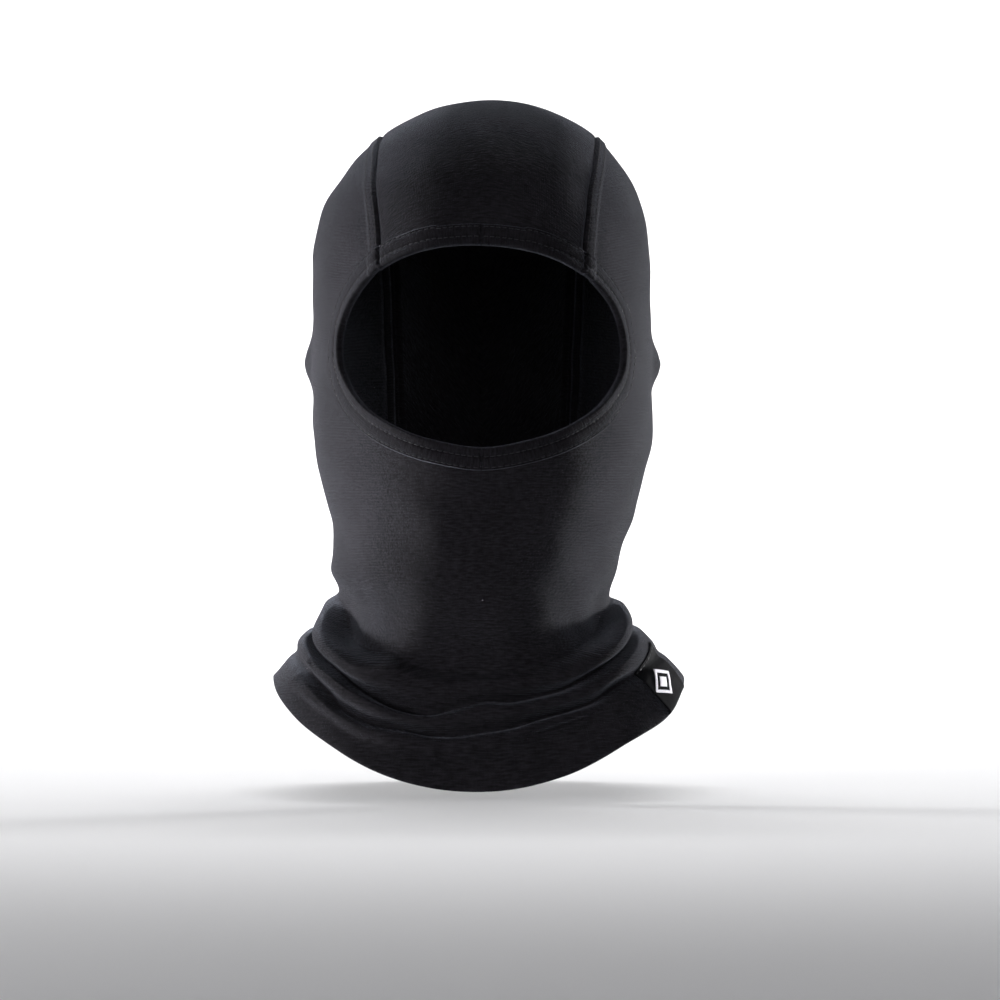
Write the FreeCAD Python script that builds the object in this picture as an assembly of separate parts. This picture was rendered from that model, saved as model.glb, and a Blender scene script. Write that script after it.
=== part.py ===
"""A jersey balaclava as it sits on a head: panels, face binding, seams, stitching, hem and labels.

Millimetres. +Z up, the face looks along -Y, +X is the wearer's left. The origin is the middle of the
head at eye level. Every piece is laid on one form, a stack of superellipse sections from the shoulders
to the crown. Heights over the form count outwards, so the fabric's inner face is at -fabric_thickness.
"""
import FreeCAD
import Part
import math
import os

V = FreeCAD.Vector

# ---- driving sizes of the form, fabric included
head_half_width = 84.3
head_front = -99.0
head_back = 108.0
dome_base = 47.0             # above this height the sections shrink to the crown as an ellipse
dome_height = 80.5           # from dome_base to the top of the crown
crown_lean = 8.0             # where the top of the crown lies, fore and aft
jaw_half_width = 76.5
neck_half_width = 70.0
neck_front = -92.0
neck_back = 64.0
nape_z = -115.0              # where the nape is narrowest
hem_half_width = 104.5
hem_front = -89.0
hem_back = 94.0
section_power = 2.2          # 2 is an ellipse, more is squarer
# each section: height, half width, front, back
STATIONS = [
    (dome_base, head_half_width, head_front, head_back),
    (0.0, head_half_width, head_front - 6, head_back - 1),
    (-45.0, head_half_width - 0.5, head_front - 11, head_back - 12),
    (-75.0, jaw_half_width, head_front - 8, neck_back + 16),
    (-105.0, neck_half_width + 0.5, head_front - 2, neck_back + 4),
    (-125.0, neck_half_width + 2, neck_front, neck_back),
    (-145.0, hem_half_width - 15.5, neck_front + 12, neck_back + 8),
    (-163.0, hem_half_width, hem_front + 14, hem_back - 10),
    (-185.0, hem_half_width + 10, hem_front + 9, hem_back + 3),
    (-215.0, hem_half_width + 23, hem_front, hem_back + 10),
]
ear_bump = 5.0               # how far the ears push the fabric out
ear_spread = 13.0
ear_y = 10.0
ear_z = -2.0

# ---- fabric, openings and hem
fabric_thickness = 1.2
lay_gap = 0.3                # between two layers that lie on each other
seam_gap = 0.3               # between two panel edges that are sewn together
opening_half_width = 68.7
opening_top = 48.5
opening_bottom = -47.5
# from the middle of the brow down one side, as shares of the half width and of the top or the bottom
OPENING_SHAPE = [(0, 1), (0.38, 0.945), (0.67, 0.785), (0.85, 0.585), (0.975, 0.28), (1, 0),
                 (0.95, -0.32), (0.785, -0.615), (0.525, -0.83), (0.265, -0.945), (0, -1)]
hem_z_front = -212.5
hem_z_side = -160.0
hem_z_back = -170.0
hem_dip_power = 2.2          # how sharply the hem drops towards the front
hem_turnup = 26.0            # fabric folded up inside the hem

# ---- crown seams: distance of each from the middle
seam_x_brow = 48.0
seam_x_forehead = 53.0
seam_x_top = 53.0
seam_x_nape = 38.0
seam_x_hem = 45.0
allowance_width = 6.0        # the raw edges, bound together inside and laid to the side
allowance_thickness = 1.8
topstitch_rows = (2.0, 5.5)  # distance of the two needle rows from the seam line
thread_width = 0.7
thread_height = 0.35

# ---- face binding, hem label and care label
binding_width = 11.0
binding_leaf = 0.9           # thickness of the binding strip
binding_round = 0.5          # how far the fold's outer corners are cut back
crease_round = 0.1           # and its inner corners
binding_rows = (4.4, 9.6)    # needle rows, from the folded edge
join_gap = 0.3               # between the two half strips at brow and lip
hem_stitch_height = 23.5     # thread row that holds the turned hem, above the hem's edge
label_width = 25.0
label_length = 27.0          # from the hem's edge to the sewn end
label_leaf = 0.5
label_azimuth = 62.0         # where it sits on the hem, from the front towards the wearer's left
label_stitch_height = 24.5
motif_half = 6.5             # half diagonal of the woven lozenge
motif_bar = 1.2
motif_height = 0.25
care_width = 25.0
care_length = 40.0
care_thickness = 0.5
care_top_z = -118.0          # height of the hinge line, inside the nape, where the fabric turns out
care_gap = 1.5               # between the hinge line and the fabric's inner face

# ---- how finely the form is read
ray_centre = V(0, -5, -85)   # every point of the form is in plain sight of this one
ray_reach = 320.0
ray_halvings = 34
fine = 121
seam_steps = 40
turn_steps = 6
sewing_reach = 1e-3


# ---------------------------------------------------------------- the form
def smooth(rows, at):
    """Cubic through rows of (position, value, ...), read at one position."""
    if rows[0][0] > rows[-1][0]:
        rows = rows[::-1]
    at = min(max(at, rows[0][0]), rows[-1][0])
    i = max(k for k in range(len(rows) - 1) if rows[k][0] <= at)
    low, high = rows[i], rows[i + 1]
    step = high[0] - low[0]
    t = (at - low[0]) / step

    def rise(k, c):
        a = rows[max(k - 1, 0)]
        b = rows[min(k + 1, len(rows) - 1)]
        return (b[c] - a[c]) / (b[0] - a[0]) * step

    return [(2 * t**3 - 3 * t**2 + 1) * low[c] + (t**3 - 2 * t**2 + t) * rise(i, c)
            + (3 * t**2 - 2 * t**3) * high[c] + (t**3 - t**2) * rise(i + 1, c)
            for c in range(1, len(low))]


def section(z):
    """Half width, middle and half depth of the form at a height."""
    half_width, front, back = smooth(STATIONS, z)
    shrink = 1.0
    if z > dome_base:
        shrink = math.sqrt(max(1e-9, 1 - ((z - dome_base) / dome_height) ** 2))
    middle = crown_lean + ((front + back) / 2 - crown_lean) * shrink
    return half_width * shrink, middle, (back - front) / 2 * shrink


def is_inside(p):
    if p.z >= dome_base + dome_height:
        return False
    half_width, middle, half_depth = section(p.z)
    return (abs(p.x) / half_width) ** section_power + (abs(p.y - middle) / half_depth) ** section_power < 1


def last_inside(start, direction):
    """The point where a line from inside the form leaves it."""
    near, far = 0.0, ray_reach
    for _ in range(ray_halvings):
        half = (near + far) / 2
        if is_inside(start + direction * half):
            near = half
        else:
            far = half
    return start + direction * near


def cast(direction):
    """The point of the form in a direction from ray_centre, with the ear bumps added."""
    p = last_inside(ray_centre, V(direction).normalize())
    away = ((p.y - ear_y) ** 2 + (p.z - ear_z) ** 2) / (2 * ear_spread**2)
    out = ear_bump * math.exp(-away) * min(1.0, (abs(p.x) / head_half_width) ** 4)
    return V(p.x + math.copysign(out, p.x), p.y, p.z)


def onto(p):
    return cast(p - ray_centre)


def normal(p):
    """Outward normal of the form at one of its points, from two short steps across it."""
    d = (p - ray_centre).normalize()
    side = d.cross(V(0, 0, 1) if abs(d.z) < 0.9 else V(0, 1, 0)).normalize()
    up = side.cross(d)
    step = 0.01
    across = cast(d + side * step) - cast(d - side * step)
    n = across.cross(cast(d + up * step) - cast(d - up * step)).normalize()
    return n if n.dot(d) > 0 else n * -1


def lifted(p, height):
    return p + normal(p) * height


def glide(p, direction, distance):
    """A point moved a distance over the form in a direction, in two steps."""
    for _ in range(2):
        n = normal(p)
        along = (direction - n * direction.dot(n)).normalize()
        p = onto(p + along * (distance / 2))
    return p


# ---------------------------------------------------------------- lines of points
def shares(count, start=0.0, end=1.0):
    return [start + (end - start) * k / (count - 1) for k in range(count)]


def lengths(points):
    along = [0.0]
    for a, b in zip(points, points[1:]):
        along.append(along[-1] + (b - a).Length)
    return along


def at_shares(points, wanted):
    """Points at shares 0 to 1 of the length of a line of points."""
    along = lengths(points)
    out = []
    for share in wanted:
        at = share * along[-1]
        i = max(k for k in range(len(points) - 1) if along[k] <= at + 1e-9)
        out.append(points[i] + (points[i + 1] - points[i]) * ((at - along[i]) / (along[i + 1] - along[i])))
    return out


def mirror(p):
    return V(-p.x, p.y, p.z)


def both_sides(points):
    """A line from the middle to one side, continued to the other side."""
    return [mirror(p) for p in points[::-1]] + points[1:]


# ---------------------------------------------------------------- edges of the hood
def opening_half():
    """The wearer's left half of the face opening's folded edge, brow to lip."""
    last = len(OPENING_SHAPE) - 1
    rows = [(k, x, z) for k, (x, z) in enumerate(OPENING_SHAPE)]
    rows = [(-1, -rows[1][1], rows[1][2])] + rows + [(last + 1, -rows[-2][1], rows[-2][2])]
    line = []
    for share in shares(fine):
        x, z = smooth(rows, share * last)
        x *= opening_half_width
        z *= opening_top if z > 0 else -opening_bottom
        half_width, middle, half_depth = section(z)
        fore = (1 - (abs(x) / half_width) ** section_power) ** (1 / section_power)
        line.append(onto(V(x, middle - half_depth * fore, z)))
    return line


def hem_point(azimuth):
    """The hem's edge at an azimuth: 0 is the front, 90 the wearer's left, 180 the back."""
    s, c = math.sin(math.radians(azimuth)), math.cos(math.radians(azimuth))
    end = hem_z_front if c > 0 else hem_z_back
    z = hem_z_side + (end - hem_z_side) * abs(c) ** hem_dip_power
    half_width, middle, half_depth = section(z)
    x = half_width * math.copysign(abs(s) ** (2 / section_power), s)
    y = middle - half_depth * math.copysign(abs(c) ** (2 / section_power), c)
    return V(x, y, z)


def hem_corner():
    """Azimuth at which the crown seam meets the back of the hem."""
    near, far = 90.0, 180.0
    for _ in range(ray_halvings):
        half = (near + far) / 2
        if hem_point(half).x > seam_x_hem:
            near = half
        else:
            far = half
    return near


def opening_share_at(x):
    """Share of the opening's half edge, from the brow, at which it is x from the middle."""
    along = lengths(OPENING)
    k = next(i for i, p in enumerate(OPENING) if p.x > x)
    t = (x - OPENING[k - 1].x) / (OPENING[k].x - OPENING[k - 1].x)
    return (along[k - 1] + (along[k] - along[k - 1]) * t) / along[-1]


def seam_line():
    """The wearer's left crown seam, from the opening's edge over the crown to the hem."""
    start, end = at_shares(OPENING, [CORNER_SHARE])[0], hem_point(HEM_CORNER)
    first = math.atan2(start.z - ray_centre.z, start.y - ray_centre.y)
    last = math.atan2(end.z - ray_centre.z, end.y - ray_centre.y)
    nape = math.atan2(nape_z - ray_centre.z, neck_back - ray_centre.y)
    top = math.pi / 2
    rows = [(first, seam_x_brow), ((first + top) / 2, seam_x_forehead), (top, seam_x_top),
            ((top + nape) / 2, (seam_x_top + seam_x_nape) / 2), (nape, seam_x_nape), (last, seam_x_hem)]
    line = []
    for angle in shares(fine, first, last):
        x = smooth(rows, angle)[0]
        line.append(last_inside(V(x, ray_centre.y, ray_centre.z), V(0, math.cos(angle), math.sin(angle))))
    line[0], line[-1] = start, end
    return line


OPENING = opening_half()
CORNER_SHARE = opening_share_at(seam_x_brow)
HEM_CORNER = hem_corner()
SEAM = seam_line()
SEAM_LENGTH = lengths(SEAM)[-1]
OPENING_LENGTH = lengths(OPENING)[-1]


def beside(line, share, offset, outward):
    """A point at a share of a line on the form, moved sideways over the form by offset."""
    a, b = at_shares(line, [max(0, share - 0.004), min(1, share + 0.004)])
    here = at_shares(line, [share])[0]
    here = onto(here)
    out = normal(here).cross((b - a).normalize())
    if out.dot(outward(here)) < 0:
        out = out * -1
    return glide(here, out, offset) if offset else here


def opening_edge(share, offset):
    """A point at a share of the left half of the opening, brow to lip, moved away from the opening."""
    p = beside(OPENING, share, offset, lambda here: V(here.x, 0, here.z))
    return V(0, p.y, p.z) if share <= 0 or share >= 1 else p


def seam_edge(share, offset):
    """A point at a share of the left crown seam, moved towards the wrap panel."""
    return beside(SEAM, share, offset, lambda here: V(1, 0, 0))


def above_hem(azimuth, height):
    """A point above the hem's edge, measured over the form."""
    here = hem_point(azimuth)
    up = (hem_point(azimuth + 0.5) - hem_point(azimuth - 0.5)).cross(normal(here)).normalize()
    return glide(here, up if up.z > 0 else up * -1, height) if height else here


# ---------------------------------------------------------------- solids from points
def spline(points):
    curve = Part.BSplineCurve()
    curve.interpolate(Points=points, Parameters=shares(len(points)))
    return curve


def face_through(grid):
    """A smooth face through a grid of points."""
    rows = [spline(row) for row in grid]
    columns = [spline(list(column)) for column in zip(*[row.getPoles() for row in rows])]
    poles = [list(line) for line in zip(*[column.getPoles() for column in columns])]
    surface = Part.BSplineSurface()
    surface.buildFromPolesMultsKnots(poles, columns[0].getMultiplicities(), rows[0].getMultiplicities(),
                                     columns[0].getKnots(), rows[0].getKnots(), False, False, 3, 3)
    return surface.toShape()


def face_between(line_a, line_b):
    """A ruled face between two lines of as many points."""
    if len(line_a) == 2:
        return face_of_four(line_a[0], line_a[1], line_b[1], line_b[0])
    a, b = spline(line_a), spline(line_b)
    surface = Part.BSplineSurface()
    surface.buildFromPolesMultsKnots([a.getPoles(), b.getPoles()], [2, 2], a.getMultiplicities(),
                                     [0.0, 1.0], a.getKnots(), False, False, 1, 3)
    return surface.toShape()


def face_of_four(a, b, c, d):
    surface = Part.BSplineSurface()
    surface.buildFromPolesMultsKnots([[a, b], [d, c]], [2, 2], [2, 2], [0.0, 1.0], [0.0, 1.0],
                                     False, False, 1, 1)
    return surface.toShape()


def solid_from(faces):
    sewn = Part.Compound(faces)
    sewn.sewShape(sewing_reach)
    return Part.makeSolid(sewn.Shells[0])


def sheet_faces(grid, depth):
    """Faces of a layer under a grid: the outside, the inside and the four sides, first row first."""
    out = grid
    under = [[lifted(p, -depth) for p in row] for row in grid]
    sides = [face_between(out[0], under[0]), face_between(out[-1], under[-1]),
             face_between([row[0] for row in out], [row[0] for row in under]),
             face_between([row[-1] for row in out], [row[-1] for row in under])]
    return out, under, sides


def panel(main, turned):
    """A panel whose last stretch, the turned hem, is two layers thick.

    main and turned are grids of points of the form that share one row.
    """
    out_a, in_a, sides_a = sheet_faces(main, fabric_thickness)
    out_b, mid_b, sides_b = sheet_faces(turned, fabric_thickness)
    in_b = [[lifted(p, -2 * fabric_thickness) for p in row] for row in turned]
    faces = [face_through(out_a), face_through(in_a), face_through(out_b), face_through(in_b)]
    faces += [sides_a[0], sides_a[2], sides_a[3], sides_b[1], sides_b[2], sides_b[3]]
    faces += [face_between(mid_b[0], in_b[0]), face_between(mid_b[-1], in_b[-1])]
    for side in (0, -1):
        faces.append(face_between([row[side] for row in mid_b], [row[side] for row in in_b]))
    return solid_from(faces)


def strip(path_a, path_b):
    """A solid strip; path_a and path_b list the two faces of its section, each a list of lines."""
    faces = []
    for face in (path_a, path_b):
        faces += [face_between(a, b) for a, b in zip(face, face[1:])]
    faces += [face_between(path_a[0], path_b[0]), face_between(path_a[-1], path_b[-1])]
    for end in (0, -1):
        for k in range(len(path_a) - 1):
            faces.append(face_of_four(path_a[k][end], path_a[k + 1][end],
                                      path_b[k + 1][end], path_b[k][end]))
    return solid_from(faces)


def ribbon(place, positions, offset, width, low, high):
    """A flat strip along a line: place(position, offset) gives points of the form."""
    left = [place(s, offset - width / 2) for s in positions]
    right = [place(s, offset + width / 2) for s in positions]
    lines = [[lifted(p, h) for p in line] for h in (high, low) for line in (left, right)]
    return strip(lines[:2], lines[2:])


def across(grid_start, grid_end, start, end):
    """A grid of points of the form inside four edges: the first and last rows, and the two ends."""
    def ray(p):
        return (p - ray_centre).normalize()

    grid = []
    for a, b, t in zip(start, end, shares(len(start))):
        row = []
        for p, q, s in zip(grid_start, grid_end, shares(len(grid_start))):
            d = ray(p) * (1 - t) + ray(q) * t + ray(a) * (1 - s) + ray(b) * s
            corner_a = ray(grid_start[0]) * (1 - t) + ray(grid_end[0]) * t
            corner_b = ray(grid_start[-1]) * (1 - t) + ray(grid_end[-1]) * t
            row.append(cast(d - corner_a * (1 - s) - corner_b * s))
        grid.append(row)
    return grid


# ---------------------------------------------------------------- the panels
panel_inset = binding_leaf + lay_gap      # a panel's raw edge stops inside the binding's fold
seam_start = panel_inset / SEAM_LENGTH
seam_turn = 1 - hem_turnup / SEAM_LENGTH


def crown_panel():
    """Centre strip from the brow over the crown to the back of the hem."""
    half = -seam_gap / 2
    count = 7
    brow = [opening_edge(CORNER_SHARE * s, panel_inset) for s in shares(count)]
    turn = [above_hem(180 - (180 - HEM_CORNER) * s, hem_turnup) for s in shares(count)]
    hem = [hem_point(180 - (180 - HEM_CORNER) * s) for s in shares(count)]
    side = [seam_edge(s, half) for s in shares(seam_steps, seam_start, seam_turn)]
    side_turned = [seam_edge(s, half) for s in shares(turn_steps, seam_turn, 1)]
    brow[-1], turn[-1], hem[-1] = side[0], side[-1], side_turned[-1]
    brow, turn, hem = both_sides(brow), both_sides(turn), both_sides(hem)
    main = across(brow, turn, [mirror(p) for p in side], side)
    turned = across(turn, hem, [mirror(p) for p in side_turned], side_turned)
    turned[0] = main[-1]
    return panel(main, turned)


def wrap_panel():
    """Both sides, the chin and the front of the neck in one piece, between the crown seams."""
    half = seam_gap / 2
    count = 23
    edge = [opening_edge(1 + (CORNER_SHARE - 1) * s, panel_inset) for s in shares(count)]
    turn = [above_hem(HEM_CORNER * s, hem_turnup) for s in shares(count)]
    hem = [hem_point(HEM_CORNER * s) for s in shares(count)]
    side = [seam_edge(s, half) for s in shares(seam_steps, seam_start, seam_turn)]
    side_turned = [seam_edge(s, half) for s in shares(turn_steps, seam_turn, 1)]
    edge[-1], turn[-1], hem[-1] = side[0], side[-1], side_turned[-1]
    grids = []
    for first, last, end in ((edge, turn, side), (turn, hem, side_turned)):
        a, b = (first[0] - ray_centre).normalize(), (last[0] - ray_centre).normalize()
        middle = at_shares([cast(a * (1 - t) + b * t) for t in shares(fine)], shares(len(end)))
        middle = [V(0, p.y, p.z) for p in middle]
        grids.append([both_sides(row) for row in across(first, last, middle, end)])
    grids[1][0] = grids[0][-1]
    return panel(*grids)


# ---------------------------------------------------------------- seams and stitching
def seam_allowance():
    """The two raw edges of the left crown seam, bound together and laid towards the side."""
    start = (binding_width + 2 * lay_gap) / SEAM_LENGTH
    end = 1 - (hem_turnup + allowance_width) / SEAM_LENGTH
    high = -fabric_thickness - lay_gap
    return ribbon(seam_edge, shares(seam_steps, start, end), seam_gap + allowance_width / 2, allowance_width,
                  high - allowance_thickness, high)


def crown_topstitch():
    """Two needle rows beside the left crown seam, on the wrap panel's side."""
    start = (binding_width + 2 * lay_gap) / SEAM_LENGTH
    rows = [ribbon(seam_edge, shares(seam_steps, start, 1 - 1 / SEAM_LENGTH), offset, thread_width,
                   lay_gap, lay_gap + thread_height) for offset in topstitch_rows]
    return Part.Compound(rows)


def hem_stitch():
    """The thread row inside that holds the turned hem, on the wrap panel and on the crown panel."""
    low = -2 * fabric_thickness - lay_gap - thread_height
    edge = seam_gap + thread_width
    margin = math.degrees(edge / hem_point(HEM_CORNER).x)
    rows = []
    for first, last, count in ((-HEM_CORNER + margin, HEM_CORNER - margin, 61),
                               (HEM_CORNER + margin, 360 - HEM_CORNER - margin, 17)):
        rows.append(ribbon(above_hem, shares(count, first, last), hem_stitch_height, thread_width,
                           low, low + thread_height))
    return Part.Compound(rows)


# ---------------------------------------------------------------- the face binding
binding_top = lay_gap + binding_leaf
binding_low = -fabric_thickness - lay_gap - binding_leaf
half_ends = (join_gap / 2 / OPENING_LENGTH, 1 - join_gap / 2 / OPENING_LENGTH)


def face_binding():
    """Left half of the strip folded over the raw edge of the opening, brow to lip."""
    outside = [(binding_width, binding_top), (binding_round, binding_top),
               (0, binding_top - binding_round), (0, binding_low + binding_round),
               (binding_round, binding_low), (binding_width, binding_low)]
    under = binding_low + binding_leaf
    inside = [(binding_width, lay_gap), (binding_leaf + crease_round, lay_gap),
              (binding_leaf, lay_gap - crease_round), (binding_leaf, under + crease_round),
              (binding_leaf + crease_round, under), (binding_width, under)]
    steps = shares(31, *half_ends)
    lines = {}
    for offset in {o for o, h in outside + inside}:
        lines[offset] = [(p, normal(p)) for p in (opening_edge(s, offset) for s in steps)]
    faces = [[[p + n * h for p, n in lines[o]] for o, h in outline] for outline in (outside, inside)]
    return strip(*faces)


def binding_coverstitch():
    """Two needle rows on the outside of the left half of the binding."""
    return Part.Compound([ribbon(opening_edge, shares(31, *half_ends), offset, thread_width,
                                 binding_top + lay_gap, binding_top + lay_gap + thread_height)
                          for offset in binding_rows])


def binding_looper():
    """The looper threads between the needle rows, inside, on the left half of the binding."""
    middle = sum(binding_rows) / 2
    high = binding_low - lay_gap
    return ribbon(opening_edge, shares(31, *half_ends), middle, binding_rows[1] - binding_rows[0],
                  high - thread_height, high)


# ---------------------------------------------------------------- the labels
def along_hem(azimuth):
    """How far a degree of azimuth carries along the hem, near an azimuth."""
    return (hem_point(azimuth + 0.5) - hem_point(azimuth - 0.5)).Length


label_half = label_width / 2 / along_hem(label_azimuth)
label_steps = shares(7, label_azimuth - label_half, label_azimuth + label_half)
label_top = lay_gap + label_leaf
label_low = -2 * fabric_thickness - thread_height - 2 * lay_gap - label_leaf


def hem_label():
    """A woven tape folded round the hem and sewn through."""
    def fold(drop, top, low):
        down = shares(7, label_length, drop)
        return [(o, top) for o in down] + [(o, low) for o in down[::-1]]

    outside = fold(-lay_gap - label_leaf, label_top, label_low)
    inside = fold(-lay_gap, lay_gap, label_low + label_leaf)
    return strip(*[[[lifted(above_hem(a, o), h) for a in label_steps] for o, h in outline]
                   for outline in (outside, inside)])


def on_label(x, y):
    """A point on the form under the label's face: x along the hem, y up from the label's middle."""
    return above_hem(label_azimuth + x / along_hem(label_azimuth), label_length / 2 + y)


def hem_label_motif():
    """A plain woven lozenge: four bars round a small filled one."""
    low = label_top + lay_gap
    bars = []
    for a, b in (((1, 0), (0, 1)), ((0, 1), (-1, 0)), ((-1, 0), (0, -1)), ((0, -1), (1, 0))):
        trim = motif_bar / motif_half
        ends = [(a[0] + (b[0] - a[0]) * t, a[1] + (b[1] - a[1]) * t) for t in shares(4, trim, 1 - trim)]
        inner = 1 - motif_bar * math.sqrt(2) / motif_half
        lines = [[on_label(x * motif_half * k, y * motif_half * k) for x, y in ends] for k in (1, inner)]
        bars.append(strip([[lifted(p, low + motif_height) for p in line] for line in lines],
                          [[lifted(p, low) for p in line] for line in lines]))
    small = motif_half / 3
    corners = [[on_label(-small, 0), on_label(0, small)], [on_label(0, -small), on_label(small, 0)]]
    bars.append(strip([[lifted(p, low + motif_height) for p in line] for line in corners],
                      [[lifted(p, low) for p in line] for line in corners]))
    return Part.Compound(bars)


def hem_label_stitch():
    """The row of thread across the label's sewn end, outside and inside."""
    ends = shares(7, label_azimuth - label_half * 0.92, label_azimuth + label_half * 0.92)
    outer = label_top + lay_gap
    inner = label_low - lay_gap - thread_height
    return Part.Compound([ribbon(above_hem, ends, label_stitch_height, thread_width, low,
                                 low + thread_height) for low in (outer, inner)])


def care_hinge():
    """The middle of the hinge line of the care label, inside the nape."""
    half_width, middle, half_depth = section(care_top_z)
    return V(0, middle + half_depth - fabric_thickness - care_gap, care_top_z)


def care_label():
    """A folded satin label that hangs from its sewn top edge."""
    hinge = care_hinge()
    corner = V(-care_width / 2, hinge.y - care_thickness / 2, hinge.z - care_length)
    return Part.makeBox(care_width, care_thickness, care_length, corner)


def inside_nape(x, up):
    """A point of the form at the back, x from the middle and up from the care label's hinge line."""
    return last_inside(V(x, ray_centre.y, care_top_z + up), V(0, 1, 0))


def care_label_stitch():
    """The thread row that ties the care label's top edge to the crown panel."""
    half = care_width / 2 * 0.9
    low = -fabric_thickness - lay_gap - thread_height
    return ribbon(inside_nape, shares(7, -half, half), thread_width, thread_width, low, low + thread_height)


# ---------------------------------------------------------------- writing
def write(name, shape):
    shape.exportStep("parts/" + name + ".step")
    solids = shape.Solids
    good = all(s.isValid() and s.isClosed() for s in solids)
    print(name, "solids", len(solids), "volume", round(sum(s.Volume for s in solids), 1), "valid", good)


def write_pair(name, shape):
    """One shape for the wearer's left, and its mirror image for the right."""
    write("left_" + name, shape)
    write("right_" + name, shape.mirror(V(0, 0, 0), V(1, 0, 0)))


def main():
    os.makedirs("parts", exist_ok=True)
    write("crown_panel", crown_panel())
    write("side_and_chin_panel", wrap_panel())
    write_pair("crown_seam_overlock", seam_allowance())
    write_pair("crown_topstitch", crown_topstitch())
    write_pair("face_binding", face_binding())
    write_pair("binding_coverstitch", binding_coverstitch())
    write_pair("binding_looper_thread", binding_looper())
    write("hem_stitch", hem_stitch())
    write("hem_label", hem_label())
    write("hem_label_motif", hem_label_motif())
    write("hem_label_stitch", hem_label_stitch())
    write("care_label", care_label())
    write("care_label_stitch", care_label_stitch())


main()
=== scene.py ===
"""A worn jersey balaclava: two cloth panels, the face binding, seams, stitching, hem and labels.

Every piece is worked out on one form, a stack of superellipse sections from shoulders to crown, and
then lifted by one relief, the height of folds, seams and ears over that form.
"""
import math
import bpy
import numpy as np
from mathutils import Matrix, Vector


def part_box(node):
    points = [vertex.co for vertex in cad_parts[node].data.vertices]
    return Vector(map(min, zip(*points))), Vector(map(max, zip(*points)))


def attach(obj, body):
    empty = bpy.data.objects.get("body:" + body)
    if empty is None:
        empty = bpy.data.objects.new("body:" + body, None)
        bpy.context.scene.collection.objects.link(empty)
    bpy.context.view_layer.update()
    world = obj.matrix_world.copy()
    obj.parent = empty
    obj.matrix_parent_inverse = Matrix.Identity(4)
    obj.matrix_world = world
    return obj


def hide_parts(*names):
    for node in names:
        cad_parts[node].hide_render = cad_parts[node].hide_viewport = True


bl_info = {
    "name": "Jersey balaclava",
    "version": (1, 0, 0),
    "blender": (4, 5, 0),
    "location": "View3D > Sidebar > Balaclava",
    "description": "Builds a worn jersey balaclava around its frame",
    "category": "Object",
}

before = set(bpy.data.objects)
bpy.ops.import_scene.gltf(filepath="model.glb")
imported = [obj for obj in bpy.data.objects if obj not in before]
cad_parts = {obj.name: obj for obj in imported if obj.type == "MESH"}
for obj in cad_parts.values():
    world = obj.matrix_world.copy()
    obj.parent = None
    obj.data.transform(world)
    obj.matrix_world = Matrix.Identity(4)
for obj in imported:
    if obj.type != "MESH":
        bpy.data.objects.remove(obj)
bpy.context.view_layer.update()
MM = 0.001

# ------------------------------------------------------------------ the form under the fabric
POWER = 2.2                    # 2 is an ellipse, more is squarer
DOME_BASE = 47 * MM            # above this the sections shrink to the crown as an ellipse
DOME_HEIGHT = 80.5 * MM
CROWN_LEAN = 8 * MM
# height, half width, front, back of each section, from the hem up
STATIONS = MM * np.array([
    (-215, 127.5, -89, 104), (-185, 114.5, -80, 97), (-163, 104.5, -75, 84), (-145, 89, -80, 72),
    (-125, 72, -92, 64), (-105, 70.5, -101, 68), (-75, 76.5, -107, 80), (-45, 83.8, -110, 96),
    (0, 84.3, -105, 107), (47, 84.3, -99, 108)])
CENTRE = MM * np.array((0, -5, -85))
REACH = 0.32
HALVINGS = 27


def rises(rows):
    """Slope of each value at each row: the chord between the rows on its two sides."""
    after = np.vstack((rows[1:], rows[-1:]))
    before = np.vstack((rows[:1], rows[:-1]))
    return (after[:, 1:] - before[:, 1:]) / (after[:, :1] - before[:, :1])


def smooth(rows, at):
    """Cubic through rows of (position, value, ...) at many positions."""
    rows = np.asarray(rows, float)
    at = np.clip(at, rows[0, 0], rows[-1, 0])
    k = np.clip(np.searchsorted(rows[:, 0], at, side="right") - 1, 0, len(rows) - 2)
    step = (rows[k + 1, 0] - rows[k, 0])[..., None]
    t = ((at - rows[k, 0])[..., None]) / step
    rise = rises(rows)
    out = ((2 * t**3 - 3 * t**2 + 1) * rows[k, 1:] + (t**3 - 2 * t**2 + t) * step * rise[k]
           + (3 * t**2 - 2 * t**3) * rows[k + 1, 1:] + (t**3 - t**2) * step * rise[k + 1])
    return out[..., 0] if out.shape[-1] == 1 else out


def section(z):
    """Half width, middle and half depth of the unshrunk section, and the dome's share of its height."""
    half_width, front, back = np.moveaxis(smooth(STATIONS, z), -1, 0)
    rise = np.clip((z - DOME_BASE) / DOME_HEIGHT, 0, None)
    shrink = np.sqrt(np.clip(1 - rise**2, 1e-9, None))
    middle = CROWN_LEAN + ((front + back) / 2 - CROWN_LEAN) * shrink
    return half_width, middle, (back - front) / 2, rise


def measure(p):
    """Below 1 inside the form: a superellipse in plan, closed by an ellipse above dome_base."""
    half_width, middle, half_depth, rise = section(p[..., 2])
    plan = np.abs(p[..., 0] / half_width) ** POWER + np.abs((p[..., 1] - middle) / half_depth) ** POWER
    return plan ** (2 / POWER) + rise**2


def last_inside(start, direction):
    """Where lines from inside the form leave it, by halving."""
    near = np.zeros(direction.shape[:-1])
    far = np.full(direction.shape[:-1], REACH)
    for _ in range(HALVINGS):
        half = (near + far) / 2
        inside = measure(start + direction * half[..., None]) < 1
        near = np.where(inside, half, near)
        far = np.where(inside, far, half)
    return start + direction * near[..., None]


def unit(v):
    return v / np.linalg.norm(v, axis=-1, keepdims=True)


def onto(p):
    """Points brought to the form along their rays from the centre."""
    return last_inside(CENTRE, unit(p - CENTRE))


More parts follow.
